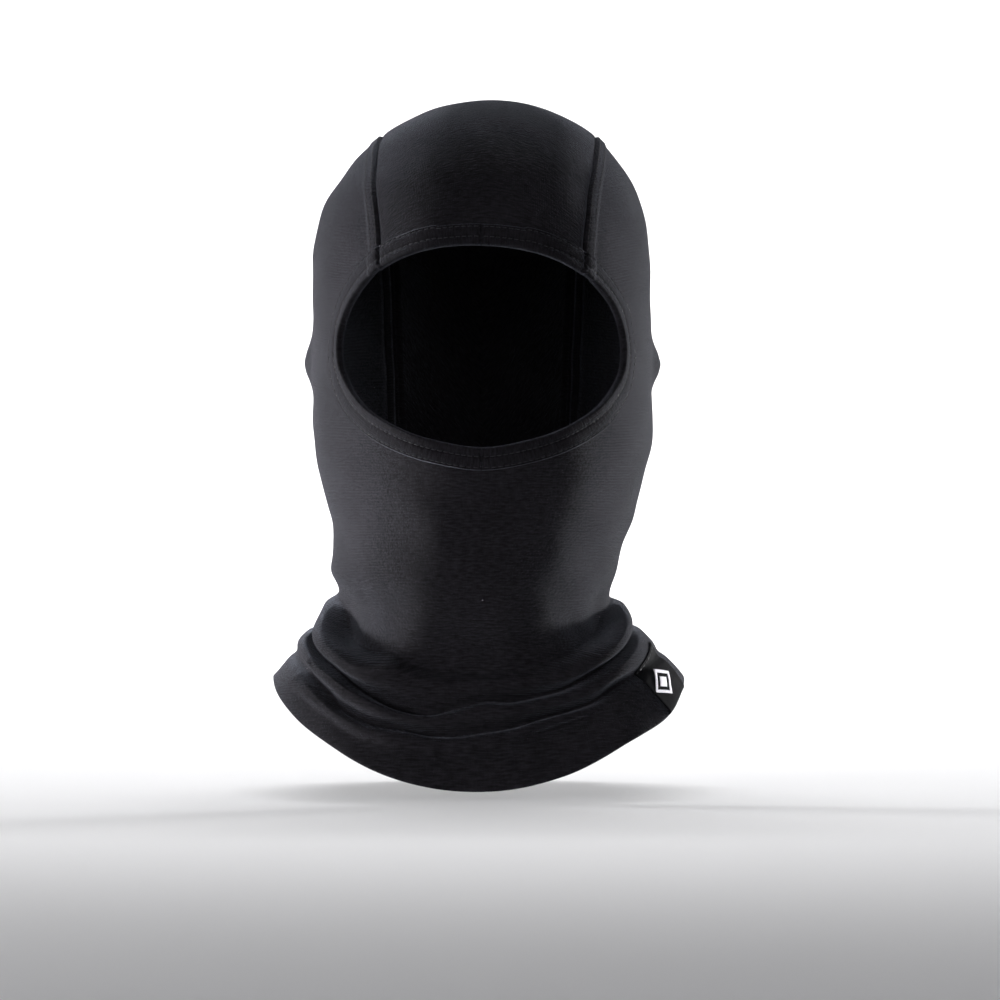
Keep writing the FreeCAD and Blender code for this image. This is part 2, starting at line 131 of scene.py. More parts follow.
def normal(p):
    """Outward normals: the gradient of the measure."""
    step = 0.05 * MM
    grads = [measure(p + step * axis) - measure(p - step * axis) for axis in np.eye(3)]
    return unit(np.stack(grads, -1))


def flat_part(v, n):
    return v - n * np.sum(v * n, -1, keepdims=True)


def glide(p, direction, distance):
    """Points moved a distance over the form in a direction, in two steps."""
    distance = np.asarray(distance)[..., None] / 2
    for _ in range(2):
        p = onto(p + unit(flat_part(direction, normal(p))) * distance)
    return p


def azimuth(p):
    """Superellipse angle in degrees: 0 is the front, 90 the wearer's left, 180 the back."""
    half_width, middle, half_depth, _ = section(p[..., 2])
    x, y = p[..., 0] / half_width, (p[..., 1] - middle) / half_depth
    fold = POWER / 2
    return np.degrees(np.arctan2(np.sign(x) * np.abs(x) ** fold, -np.sign(y) * np.abs(y) ** fold))


# ------------------------------------------------------------------ lines
def lengths(points):
    return np.concatenate(([0], np.cumsum(np.linalg.norm(np.diff(points, axis=0), axis=1))))


def at_shares(points, shares):
    """Points at shares 0 to 1 of the length of a line of points."""
    along = lengths(points)
    at = np.asarray(shares) * along[-1]
    return np.stack([np.interp(at, along, points[:, k]) for k in range(3)], -1)


def mirror(p):
    return p * (-1, 1, 1)


def eased(start, end, count, dense=0.0):
    """Shares from start to end, closer together towards the end as dense goes to 1."""
    t = np.linspace(0, 1, count)
    return start + (end - start) * (t + dense * np.sin(math.pi * t) / math.pi)


# the folded edge of the opening, brow to lip, as shares of its half width and its top or bottom
OPENING_SHAPE = ((0, 1), (0.38, 0.945), (0.67, 0.785), (0.85, 0.585), (0.975, 0.28), (1, 0),
                 (0.95, -0.32), (0.785, -0.615), (0.525, -0.83), (0.265, -0.945), (0, -1))
OPENING_HALF_WIDTH = 68.7 * MM
OPENING_TOP = 48.5 * MM
OPENING_BOTTOM = 47.5 * MM
HEM_FRONT, HEM_SIDE, HEM_BACK = -212.5 * MM, -160 * MM, -170 * MM
HEM_DIP = 2.2
SEAM_X = MM * np.array((48, 53, 53, 45.5, 38, 45))   # brow, forehead, top, back, nape, hem
NAPE_Z = -115 * MM
NECK_BACK = 64 * MM
FINE = 400


def opening_half():
    """The wearer's left half of the opening's edge."""
    shape = np.array(OPENING_SHAPE)
    last = len(shape) - 1
    rows = np.column_stack((np.arange(last + 1), shape))
    rows = np.vstack(((-1, -shape[1, 0], shape[1, 1]), rows, (last + 1, -shape[-2, 0], shape[-2, 1])))
    x, z = smooth(rows, np.linspace(0, last, FINE)).T
    x = x * OPENING_HALF_WIDTH
    z = z * np.where(z > 0, OPENING_TOP, OPENING_BOTTOM)
    half_width, middle, half_depth, _ = section(z)
    fore = (1 - np.abs(x / half_width) ** POWER) ** (1 / POWER)
    return onto(np.stack((x, middle - half_depth * fore, z), -1))


def hem_point(degrees):
    """The hem's edge at azimuths."""
    s, c = np.sin(np.radians(degrees)), np.cos(np.radians(degrees))
    z = HEM_SIDE + (np.where(c > 0, HEM_FRONT, HEM_BACK) - HEM_SIDE) * np.abs(c) ** HEM_DIP
    half_width, middle, half_depth, _ = section(z)
    x = half_width * np.sign(s) * np.abs(s) ** (2 / POWER)
    y = middle - half_depth * np.sign(c) * np.abs(c) ** (2 / POWER)
    return np.stack((x, y, z), -1)


def seam_line():
    """The wearer's left crown seam, brow to hem."""
    start, end = at_shares(OPENING, [CORNER])[0], hem_point(np.array([HEM_CORNER]))[0]
    first, last = (math.atan2(p[2] - CENTRE[2], p[1] - CENTRE[1]) for p in (start, end))
    nape = math.atan2(NAPE_Z - CENTRE[2], NECK_BACK - CENTRE[1])
    top = math.pi / 2
    turns = (first, (first + top) / 2, top, (top + nape) / 2, nape, last)
    angle = np.linspace(first, last, FINE)
    x = smooth(np.column_stack((turns, SEAM_X))[::-1], angle)
    starts = np.stack((x, np.full(FINE, CENTRE[1]), np.full(FINE, CENTRE[2])), -1)
    return last_inside(starts, np.stack((0 * angle, np.cos(angle), np.sin(angle)), -1))


OPENING = opening_half()
OPENING_LENGTH = lengths(OPENING)[-1]
rising = OPENING[: int(np.argmax(OPENING[:, 0]))]
CORNER = float(np.interp(SEAM_X[0], rising[:, 0], lengths(OPENING)[: len(rising)])) / OPENING_LENGTH
back_half = np.linspace(90, 180, 2000)
HEM_CORNER = float(np.interp(-SEAM_X[-1], -hem_point(back_half)[:, 0], back_half))
SEAM = seam_line()
SEAM_LENGTH = lengths(SEAM)[-1]


def beside(line, shares, offset, outward):
    """Points at shares of a line, moved sideways over the form by offset, on the side of outward."""
    shares = np.asarray(shares, float)
    here = onto(at_shares(line, shares))
    ahead = at_shares(line, np.clip(shares + 0.004, 0, 1)) - at_shares(line, np.clip(shares - 0.004, 0, 1))
    out = np.cross(normal(here), unit(ahead))
    out *= np.sign(np.sum(out * outward(here), -1, keepdims=True))
    return glide(here, out, offset)


def opening_edge(shares, offset):
    """Points by the left half of the opening, moved away from the opening."""
    p = beside(OPENING, shares, offset, lambda here: here * (1, 0, 1))
    p[(np.asarray(shares) <= 0) | (np.asarray(shares) >= 1), 0] = 0
    return p


def seam_edge(shares, offset):
    """Points by the left crown seam, moved towards the side panel."""
    return beside(SEAM, shares, offset, lambda here: np.array((1, 0, 0)))


def above_hem(degrees, height):
    """Points above the hem's edge, measured over the form."""
    here = hem_point(degrees)
    up = np.cross(hem_point(degrees + 0.5) - hem_point(degrees - 0.5), normal(here))
    return glide(here, up * np.sign(up[..., 2:]), height)


# ------------------------------------------------------------------ the relief: folds, seams, ears
# Folds of the slack neck, from the jaw down. Each row: azimuth, height of the line, relief of the line.
NECK_LINES = {
    "jaw": ((-180, -96, 0), (180, -96, 0)),
    "hollow": ((-180, -124, 0), (-140, -122, -0.9), (-110, -119, -2.6), (-90, -117.5, -3.2),
        (-80, -121.5, -4.5), (-71, -127, -6.5), (-57, -136, -7.5), (-45, -142.5, -7), (-34, -148, -6),
        (-23, -149.5, -3.5), (-13, -155, -3.2), (0, -157, -2.6), (8, -155.5, -2.2), (16, -153.5, -2.5),
        (25, -150.5, -5), (38, -144, -7.5), (52, -137, -7.5), (68, -128.5, -6.5), (80, -124, -4.5),
        (90, -121, -3.2), (110, -119, -2.6), (140, -122, -0.9), (180, -124, 0)),
    "first_roll": ((-180, -133, 1.2), (-140, -131, 1.6), (-110, -129, 2.4), (-90, -126.5, 2.8),
        (-75, -131.5, 3.2), (-60, -139.5, 3.4), (-45, -147.5, 3.4), (-32, -154, 3.2), (-22, -154.5, 2.6),
        (-12, -160.5, 1.8), (0, -161.5, 1), (7, -160.5, 1.2), (14, -159.5, 1.6), (23, -156, 2.4),
        (35, -149, 3.2), (45, -144, 3.4), (56, -138.5, 3.2), (68, -133, 3), (90, -126.5, 2.8),
        (110, -127, 2.4), (140, -131, 1.6), (180, -133, 1.2)),
    "first_crease": ((-180, -141, 0), (-140, -138.5, -1), (-110, -136, -1.4), (-90, -134, -1.6),
        (-70, -142, -2.2), (-53, -150, -2.8), (-42, -156, -3), (-28, -167, -3.4), (-19, -173.5, -3.4),
        (-11, -175.5, -3), (-4, -171.5, -2.4), (1, -168.5, -2.6), (6, -169, -2.8), (13, -167, -3.6),
        (22, -163.5, -3.8), (33, -156.5, -3.8), (44, -150.5, -3.4), (55, -144.5, -2.6), (70, -137.5, -1.7),
        (90, -133, -1.0), (110, -134, -1.4), (140, -138, -1), (180, -141, 0)),
    "second_roll": ((-180, -149, 0.8), (-140, -146, 1), (-110, -142, 1.4), (-90, -139.5, 1.6),
        (-61, -148, 2.2), (-48, -154.5, 2.6), (-40, -159, 2.8), (-28, -169, 2.8), (-18, -176.5, 2.4),
        (-11, -178.5, 2.2), (-4, -176, 2.2), (1, -173, 2), (6, -173.5, 2.4), (13, -170, 3), (21, -166.5, 3),
        (30, -162, 2.8), (40, -155.5, 2.6), (51, -149, 2.2), (67, -142.5, 1.6), (90, -139.5, 1.0),
        (110, -141, 1.3), (140, -145, 1), (180, -149, 0.8)),
    "second_crease": ((-180, -157, -0.3), (-140, -153, -0.5), (-110, -149, -0.8), (-90, -147, -1.2),
        (-70, -150.5, -1.8), (-54, -157, -2.4), (-42, -166, -2.8), (-37, -172.5, -2.6), (-26, -181.5, -3.2),
        (-18, -183.5, -3.6), (-11, -186, -3.6), (-4, -186, -3.4), (1, -183.5, -3.4), (6, -182, -3.6),
        (13, -178, -3.6), (21, -174, -3.4), (29, -169.5, -2.6), (38, -162.5, -1.8), (50, -157, -1.2),
        (60, -153, -0.9), (90, -147, -0.6), (140, -152, -0.4), (180, -157, -0.3)),
    "third_roll": ((-180, -164, 0.1), (-90, -153, 0.3), (-60, -160, 0.7), (-42, -172, 1.2), (-29, -184, 1.2),
        (-17, -188, 1.4), (-10, -191, 1.4), (0, -189.5, 1.4), (7, -186.5, 1.6), (12, -182.5, 1.9),
        (20, -178, 1.8), (29, -174, 1), (38, -168, 0.4), (60, -158, 0.2), (90, -152, 0.1), (180, -164, 0.1)),
    "third_crease": ((-180, -168, 0), (-90, -158, 0), (-60, -164, -0.2), (-42, -177, -0.3),
        (-29, -190, -0.3), (-14, -196, -0.3), (0, -195.5, -0.8), (4, -193, -1.2), (10, -189, -1.3),
        (16, -184.5, -1.3), (24, -180, -0.9), (34, -176, -0.2), (60, -164, 0), (180, -168, 0)),
}
HEM_SETTLE = 9 * MM            # how far below the last crease the hem lies flat again
CREASE_PINCH = 1.8             # how much narrower a crease is than a roll
CREASE_GAIN = 1.55             # deepens the creases where the cloth is slackest, at the front
SLACK_ENDS = (88, 60)          # azimuths between which the slack grows to that
LEAST_GAP = 1.5 * MM           # between two lines, where they run together
JAW_ROLL = (-90, -107.5, 38, 6.5, 1.9)     # azimuth, height, spread in degrees, spread in mm, relief
TUG = ((-55, -152), (-62, -164), 1.7, 1.3)      # a short ridge: its two ends, half width in mm, relief
TUG_SHAPE, TUG_FADE = (1.6, 1), 0.6             # mm per degree and per mm; what it loses by its lower end
EAR_Y, EAR_Z = 11 * MM, -3 * MM
EAR_SPREAD = 7.5 * MM
EAR_BUMP = 5.2 * MM
EAR_SIDE = 80 * MM             # the ears' bumps are only as far out as this
SAG = 0.15                     # how far a roll hangs down, as a share of how far it stands out
# How the hood sits when worn. Rows: height and shift to its left; azimuth and rise of the hem.
LEAN = ((-230, 0), (-178, 0), (-165, -1.6), (-150, -2.3), (-130, -3.2), (-110, -3.8), (-95, -2.0),
        (-80, 0), (55, 0), (77, 0.6), (97, 2.3), (112, 3.6), (135, 4.4))
HEM_LIFT = ((-180, 0), (-60, 0), (-45, 2.4), (-35, 3.2), (-20, 2.9), (0, 2.0), (15, 4.4), (30, 6.4),
            (42, 5.2), (52, 2.2), (62, 0), (180, 0))
BROW_TILT = (-1.6 * MM, 60 * MM, 46 * MM, 24 * MM)     # rise of the left end, half span, height, spread
# The bib of the hood lies flat over the chest. Rows: azimuth and shift forwards near the hem.
BIB = ((-180, 0), (-92, 0), (-82, 3), (-72, 8), (-60, 9.5), (-45, 6), (-25, 1.5), (0, 0), (25, 1.5),
       (45, 6), (60, 9.5), (72, 8), (82, 3), (92, 0), (180, 0))
# where each of these starts and is in full: y for the lean and the brow, heights for the hem and the bib
LEAN_FADE, BROW_FADE = MM * np.array((55, 10)), MM * np.array((0, -60))
HEM_FADE, BIB_FADE = MM * np.array((-168, -196)), MM * np.array((-135, -172))
SEAM_DIP = 0.75 * MM           # the groove at the crown seam
SEAM_RIDGE = 0.85 * MM         # the fabric lifted by the seam allowance under it
RIDGE_NEAR, RIDGE_FAR = (0.3, 1.5), (5.6, 8.0)  # mm from the seam where that ridge rises and falls
GROOVE_SPREAD = 0.75           # in mm
TOPSTITCH = MM * np.array((1.9, 5.3))
STITCH_DIP, STITCH_SPREAD = 0.22 * MM, 0.45 * MM
RIPPLES, RIPPLE_LENGTH, RIPPLE_HEIGHT = 14, 55 * MM, 0.11 * MM
BATCH = 8000                   # points measured against the seam at a time


def soft_step(low, high, at):
    t = np.clip((at - low) / (high - low), 0, 1)
    return t * t * (3 - 2 * t)


def neck_folds(p):
    """Relief of the neck: a half cosine from crease to roll, made a little narrower in the crease."""
    degrees, z = azimuth(p), p[..., 2]
    lines = [smooth(rows, degrees) for rows in NECK_LINES.values()]
    levels = [line[..., 0] * MM for line in lines]
    heights = [line[..., 1] * MM for line in lines]
    levels.append(levels[-1] - HEM_SETTLE)
    heights.append(0 * heights[-1])
    slack = 1 + (CREASE_GAIN - 1) * soft_step(*SLACK_ENDS, np.abs(degrees))
    heights = [np.where(height < 0, slack, 0.5 + 0.5 * slack) * height for height in heights]
    for k in range(1, len(levels)):
        levels[k] = np.minimum(levels[k], levels[k - 1] - LEAST_GAP)
    relief = np.zeros(z.shape)
    for above, below, high, low in zip(levels, levels[1:], heights, heights[1:]):
        t = np.clip((above - z) / (above - below), 0, 1)
        t = np.where(high > low, t ** CREASE_PINCH, 1 - (1 - t) ** CREASE_PINCH)
        between = (z <= above) & (z > below)
        relief = np.where(between, high + (low - high) * (0.5 - 0.5 * np.cos(math.pi * t)), relief)
    at, height, spread, tall, lift = JAW_ROLL
    jaw = np.exp(-(((degrees - at) / spread) ** 2) - ((z - height * MM) / (tall * MM)) ** 2)
    first, last, width, rise = TUG
    way, flat = np.subtract(last, first), np.stack((degrees, z / MM), -1) - first
    along = np.clip(flat @ way / np.sum(way**2), 0, 1)
    off = np.linalg.norm((flat - along[..., None] * way) * TUG_SHAPE, axis=-1)
    tug = np.exp(-((off / width) ** 2)) * (1 - TUG_FADE * along)
    return relief + lift * MM * jaw + rise * MM * tug


def seam_distance(p):
    """Signed distance from the nearer crown seam, positive on the side panel."""
    flat = p.reshape(-1, 3).copy()
    flat[:, 0] = np.abs(flat[:, 0])
    ahead = unit(np.gradient(SEAM, axis=0))
    out = np.cross(normal(SEAM), ahead)
    out *= np.sign(out[:, :1])
    result = np.empty(len(flat))
    for start in range(0, len(flat), BATCH):
        some = flat[start:start + BATCH]
        gaps = ((some[:, None, :] - SEAM[None, ::2]) ** 2).sum(-1)
        k = 2 * np.argmin(gaps, 1)
        away = some - SEAM[k]
        side = np.sum(away * out[k], -1)
        along = np.sum(away * ahead[k], -1)
        past = np.where((k == 0) | (k >= len(SEAM) - 2), np.abs(along), 0)
        result[start:start + BATCH] = np.sign(side) * np.hypot(side, past)
    return result.reshape(p.shape[:-1])


def seam_relief(distance):
    """A groove on the seam, a ridge over the allowance, and a dip under each topstitch row."""
    d = distance / MM
    ridge = soft_step(*RIDGE_NEAR, d) * (1 - soft_step(*RIDGE_FAR, d))
    rows = sum(np.exp(-(((distance - row) / STITCH_SPREAD) ** 2)) for row in TOPSTITCH)
    return SEAM_RIDGE * ridge - SEAM_DIP * np.exp(-((d / GROOVE_SPREAD) ** 2)) - STITCH_DIP * rows


def ripple(p):
    """Slow unevenness of worn cloth: a sum of waves along fixed directions."""
    rng = np.random.default_rng(7)
    total = np.zeros(p.shape[:-1])
    for _ in range(RIPPLES):
        wave = rng.normal(size=3) * (2 * math.pi / RIPPLE_LENGTH)
        total += np.sin(p @ wave + rng.uniform(0, 2 * math.pi))
    return RIPPLE_HEIGHT * total


def relief(p):
    """Height of the cloth's outer face over the form."""
    away = ((p[..., 1] - EAR_Y) ** 2 + (p[..., 2] - EAR_Z) ** 2) / (2 * EAR_SPREAD**2)
    side = np.clip(np.abs(p[..., 0]) / EAR_SIDE, 0, 1) ** 6
    return neck_folds(p) + EAR_BUMP * np.exp(-away) * side + seam_relief(seam_distance(p)) + ripple(p)


def settle(p):
    """How far the worn hood sits off the even form: sideways by height, up along the hem, and forwards."""
    x, y, z = np.moveaxis(p, -1, 0)
    aside = smooth(LEAN, z / MM) * soft_step(*LEAN_FADE, y)
    up = smooth(HEM_LIFT, azimuth(p)) * soft_step(*HEM_FADE, z)
    rise, half_span, height, spread = BROW_TILT
    tilt = rise * x / half_span * np.exp(-(((z - height) / spread) ** 2)) * soft_step(*BROW_FADE, y)
    forward = smooth(BIB, azimuth(p)) * soft_step(*BIB_FADE, z)
    return aside * MM, up * MM + tilt, forward * MM


def drape(p):
    """Points of the form brought to the cloth's outer face, with the rolls sagging down."""
    n = normal(p)
    height = relief(p)[..., None]
    aside, up, forward = settle(p)
    down = flat_part(np.broadcast_to((0, 0, -1.0), p.shape), n)
    placed = p + n * height + down * (SAG * np.clip(height, 0, None) - up[..., None])
    placed[..., 0] += aside
    placed[..., 1] -= forward
    return placed


def cloth_frame(p, ahead):
    """Outer face, normal and forward direction of the cloth at points of the form."""
    n = normal(p)
    one = unit(flat_part(ahead, n))
    two = np.cross(n, one)
    step = 0.4 * MM
    near = [drape(onto(p + way * step)) for way in (one, -one, two, -two)]
    forward = unit(near[0] - near[1])
    face = unit(np.cross(forward, near[2] - near[3]))
    return drape(p), face, forward


# ------------------------------------------------------------------ meshes
def make_mesh(name, points, quads, material, grain=None, body="hood", ends=()):
    """A smooth-shaded piece from points, faces and end caps; grain is a UV map in metres of cloth."""
    mesh = bpy.data.meshes.new(name)
    faces = np.asarray(quads).tolist() + list(ends)
    mesh.from_pydata(np.asarray(points).reshape(-1, 3).tolist(), [], faces)
    mesh.polygons.foreach_set("use_smooth", [True] * len(mesh.polygons))
    if grain is not None:
        corner = np.empty(len(mesh.loops), np.int64)
        mesh.loops.foreach_get("vertex_index", corner)
        layer = mesh.uv_layers.new(name="grain")
        layer.data.foreach_set("uv", np.asarray(grain).reshape(-1, 2)[corner].astype(np.float32).ravel())
    mesh.update()
    piece = bpy.data.objects.new(name, mesh)
    bpy.context.scene.collection.objects.link(piece)
    mesh.materials.append(material)
    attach(piece, body)
    return piece


def grid_quads(rows, columns, wrap_rows=False, wrap_columns=False):
    """Faces of a grid of rows by columns points, closed on itself where asked."""
    i, j = np.meshgrid(np.arange(rows if wrap_rows else rows - 1),
                       np.arange(columns if wrap_columns else columns - 1), indexing="ij")
    a, b = i * columns, (i + 1) % rows * columns
    k = (j + 1) % columns
    return np.stack((a + j, b + j, b + k, a + k), -1).reshape(-1, 4)


def coons(first, last, start, end, s, t):
    """Rays filling a patch inside four edges at shares s and t, cast onto the form."""
    first, last, start, end = (unit(edge - CENTRE) for edge in (first, last, start, end))
    s, t = s[None, :, None], t[:, None, None]
    rays = (first[None] * (1 - t) + last[None] * t + start[:, None] * (1 - s) + end[:, None] * s
            - (first[0] * (1 - s) * (1 - t) + first[-1] * s * (1 - t)
               + last[0] * (1 - s) * t + last[-1] * s * t))
    return last_inside(CENTRE, unit(rays))


def both_sides(grid):
    """A grid whose first column is the middle, continued to the other side."""
    return np.concatenate((mirror(grid[:, :0:-1]), grid), axis=1)


def cloth_panel(name, grid, turned, turnup, grain, material):
    """Closes a panel: outer face, rounded hem fold, inner face, and its raw and sewn edges.

    turned is each row's distance up from the hem's edge, so that the hem is two layers thick there.
    """
    fabric = bpy.context.scene.hood_sizes.fabric
    outer, n = drape(grid), normal(grid)         # the form's own normals, so that no layer crosses another
    double = 1 + 1.05 * soft_step(turnup + 0.5 * MM, turnup - 0.3 * MM, turned)
    inner = outer - n * fabric * double[..., None]
    down = unit(outer[-1] - outer[-2])
    centre, reach = (outer[-1] + inner[-1]) / 2, (outer[-1] - inner[-1]) / 2
    half = np.linalg.norm(reach, axis=-1, keepdims=True)
    turns = np.linspace(0, math.pi, 7)[1:-1]
    rim = np.stack([centre + reach * math.cos(a) + down * half * math.sin(a) for a in turns])
    points = np.concatenate((outer, rim, inner[::-1]))
    rows, columns = points.shape[:2]
    quads = grid_quads(rows, columns, wrap_rows=True)
    count = len(outer)
    k = np.arange(count - 1)
    caps, ends = [], []
    for column, turn in ((0, 1), (columns - 1, -1)):
        a, b = k * columns + column, (k + 1) * columns + column
        c, d = (rows - 2 - k) * columns + column, (rows - 1 - k) * columns + column
        caps.append(np.stack((a, b, c, d) if turn < 0 else (d, c, b, a), -1))
        loop = [int(r * columns + column) for r in range(count - 1, rows - count + 1)]
        ends.append(loop if turn < 0 else loop[::-1])
    grain = np.concatenate((grain, np.repeat(grain[-1:], len(rim), 0), grain[::-1]))
    return make_mesh(name, points, np.concatenate([quads] + caps), material, grain, ends=ends)


def tube(name, rings, material, body="hood", grain=None):
    """A closed piece from rings of points: rings[i, j] is point j of ring i, with both ends capped."""
    rows, columns = rings.shape[:2]
    ends = [list(range(columns))[::-1], list(range((rows - 1) * columns, rows * columns))]
    quads = grid_quads(rows, columns, wrap_columns=True)[:, ::-1]
    return make_mesh(name, rings, quads, material, grain, body, ends)


# a stitch from end to end: shares of its half length, and of its radius there
STITCH_SHAPE = np.array(((-1.0, -0.82, -0.3, 0.3, 0.82, 1.0), (0.25, 0.85, 1.0, 1.0, 0.85, 0.25)))
STITCH_PROUD, STITCH_BOW = 0.6, 1.6      # how far its middle stands out and its ends dive, in radii


def stitches(name, centre, face, forward, length, radius, material, body="hood", rise=0.0):
    """Short threads, one at each centre: capsules bowed up in the middle, with their ends in the cloth."""
    centre, face, forward = (v.reshape(-1, 3) for v in (centre, face, forward))
    along, girth = STITCH_SHAPE
    turns = np.radians(np.arange(0, 360, 60))
    side = np.cross(face, forward)
    lift = rise + radius * (STITCH_PROUD - STITCH_BOW * along**4)
    spine = (centre[:, None] + forward[:, None] * (along * length / 2)[None, :, None]
             + face[:, None] * lift[None, :, None])
    ring = side[:, None, None] * np.cos(turns)[:, None] + face[:, None, None] * np.sin(turns)[:, None]
    points = spine[:, :, None] + ring * (girth * radius)[None, :, None, None]
    count, rows, columns = points.shape[:3]
    quads = grid_quads(rows, columns, wrap_columns=True)[:, ::-1]
    each = rows * columns
    shift = (np.arange(count) * each)[:, None, None]
    quads = (quads[None] + shift).reshape(-1, 4)
    caps = np.array((np.arange(columns)[::-1], np.arange(each - columns, each)))
    caps = (caps[None] + shift).reshape(-1, columns).tolist()
    return make_mesh(name, points, quads, material, body=body, ends=caps)


# ------------------------------------------------------------------ materials
WALE = 0.95 * MM               # a real wale is about 0.65 mm, drawn coarser so that it shows
COURSE = 0.75 * MM
SLUBS, STREAKS = (210, 1000, 1), (1100, 240, 1)         # per metre across the wales and along them
LINT_SCALE, LINT_SIZE, LINT_SHARE = 105.0, 0.035, 0.1   # cells per metre, radius in cells, cells with a speck


def srgb(text):
    """Linear colour of an sRGB hex value."""
    parts = [int(text[k:k + 2], 16) / 255 for k in (0, 2, 4)]
    return [c / 12.92 if c <= 0.04045 else ((c + 0.055) / 1.055) ** 2.4 for c in parts]


def add(tree, kind, links=None, **settings):
    """A node with its settings; links sets its inputs, from sockets or values."""
    made = tree.nodes.new(kind)
    for key, value in settings.items():
        setattr(made, key, value)
    for key, value in (links or {}).items():
        if isinstance(value, bpy.types.NodeSocket):
            tree.links.new(value, made.inputs[key])
        else:
            made.inputs[key].default_value = value
    return made


def calc(tree, operation, a, b=0.0):
    return add(tree, "ShaderNodeMath", {0: a, 1: b}, operation=operation).outputs[0]


def tones(tree, factor, dark, light, ends=(0.0, 1.0)):
    """A colour ramp between two colours, at two positions."""
    ramp = add(tree, "ShaderNodeValToRGB", {0: factor})
    for element, position, colour in zip(ramp.color_ramp.elements, ends, (dark, light)):
        element.position, element.color = position, list(colour) + [1]
    return ramp.outputs[0]


def shades(colour, *factors):
    return [[min(1, c * factor) for c in colour] for factor in factors]


def noise(tree, place, scale, detail=2.0):
    return add(tree, "ShaderNodeTexNoise", {"Vector": place, "Scale": scale, "Detail": detail}).outputs[0]


def scaled(tree, place, scale):
    return add(tree, "ShaderNodeMapping", {0: place, "Scale": scale}).outputs[0]


def bump(tree, height, strength, distance, under=None):
    """Normals of a relief, laid over those of another where given."""
    links = {"Height": height, "Strength": strength, "Distance": distance}
    if under is not None:
        links["Normal"] = under
    return add(tree, "ShaderNodeBump", links).outputs[0]


def new_material(name, roughness, sheen=0.0, specular=0.5):
    """A material with its surface shader, its tree and its shader node."""
    made = bpy.data.materials.new(name)
    made.use_nodes = True
    tree = made.node_tree
    shader = next(n for n in tree.nodes if n.type == "BSDF_PRINCIPLED")
    shader.inputs["Roughness"].default_value = roughness
    shader.inputs["Specular IOR Level"].default_value = specular
    shader.inputs["Sheen Weight"].default_value = sheen
    shader.inputs["Sheen Roughness"].default_value = 0.28
    shader.inputs["Sheen Tint"].default_value = srgb("b9bfd0") + [1]
    return made, tree, shader


def knit_height(tree, grain):
    """Jersey: each wale is a column of V-shaped loops, two slanted legs beside a groove."""
    parts = add(tree, "ShaderNodeSeparateXYZ", {0: grain}).outputs
    across = calc(tree, "FRACT", calc(tree, "DIVIDE", parts[0], WALE))
    leg = calc(tree, "ABSOLUTE", calc(tree, "SUBTRACT", across, 0.5))
    loop = calc(tree, "ADD", calc(tree, "DIVIDE", parts[1], COURSE), calc(tree, "MULTIPLY", leg, 1.4))
    loops = calc(tree, "SINE", calc(tree, "MULTIPLY", loop, 2 * math.pi))
    legs = calc(tree, "COSINE", calc(tree, "MULTIPLY", calc(tree, "SUBTRACT", leg, 0.25), 2 * math.pi))
    return calc(tree, "MULTIPLY", calc(tree, "ADD", calc(tree, "MULTIPLY", loops, 0.4), 0.6), legs)


def jersey(name, colour, lift):
    """Fine wool jersey: matt black, with a pale fuzz at grazing angles and slubs along the courses."""
    if name in bpy.data.materials:
        return bpy.data.materials[name]
    made, tree, shader = new_material(name, 0.9, sheen=0.3, specular=0.05)
    grain = add(tree, "ShaderNodeUVMap", uv_map="grain").outputs[0]
    place = add(tree, "ShaderNodeTexCoord").outputs["Object"]
    # slubs: yarn a little thicker for 6 to 20 mm along a course, one course high
    slub = noise(tree, scaled(tree, grain, SLUBS), 1.0, 2.5)
    # the loops' legs catch light unevenly along the wales
    streak = noise(tree, scaled(tree, grain, STREAKS), 1.0, 1.0)
    fuzz = noise(tree, place, 900.0, 3.0)
    cloud = noise(tree, place, 26.0, 3.0)
    mixed = calc(tree, "ADD", calc(tree, "MULTIPLY", slub, 0.6), calc(tree, "MULTIPLY", streak, 0.15))
    mixed = calc(tree, "ADD", mixed, calc(tree, "MULTIPLY", cloud, 0.25))
    cloth = tones(tree, mixed, *shades(colour, 0.55, lift), ends=(0.37, 0.64))
    # a few specks of lint, under 1 mm across
    cells = add(tree, "ShaderNodeTexVoronoi", {"Vector": place, "Scale": LINT_SCALE})
    speck = calc(tree, "LESS_THAN", cells.outputs["Distance"], LINT_SIZE)
    lot = add(tree, "ShaderNodeSeparateColor", {0: cells.outputs["Color"]}).outputs[0]
    chosen = calc(tree, "MULTIPLY", speck, calc(tree, "LESS_THAN", lot, LINT_SHARE))
    lint = calc(tree, "MULTIPLY", chosen, 0.8)
    dusted = add(tree, "ShaderNodeMixRGB", {0: lint, 1: cloth, 2: srgb("8d8892") + [1]}).outputs[0]
    tree.links.new(dusted, shader.inputs["Base Color"])
    loops = bump(tree, knit_height(tree, grain), 0.7, 0.3 * MM)
    both = bump(tree, calc(tree, "ADD", fuzz, slub), 0.7, 0.35 * MM, loops)
    tree.links.new(both, shader.inputs["Normal"])
    return made


def thread(name, colour, roughness, sheen=0.1):
    """Spun polyester thread: a twist of two plies gives it fine slanting highlights."""
    if name in bpy.data.materials:
        return bpy.data.materials[name]
    made, tree, shader = new_material(name, roughness, sheen=sheen, specular=0.2)
    place = add(tree, "ShaderNodeTexCoord").outputs["Object"]
    turned = add(tree, "ShaderNodeMapping", {0: place, "Rotation": (0.6, 0.5, 0.7)}).outputs[0]
    twist = add(tree, "ShaderNodeTexWave", {"Vector": turned, "Scale": 1500.0, "Distortion": 1.5}).outputs[1]
    spun = tones(tree, noise(tree, place, 300.0), *shades(colour, 0.8, 1.35))
    tree.links.new(spun, shader.inputs["Base Color"])
    tree.links.new(bump(tree, twist, 0.5, 0.1 * MM), shader.inputs["Normal"])
    return made


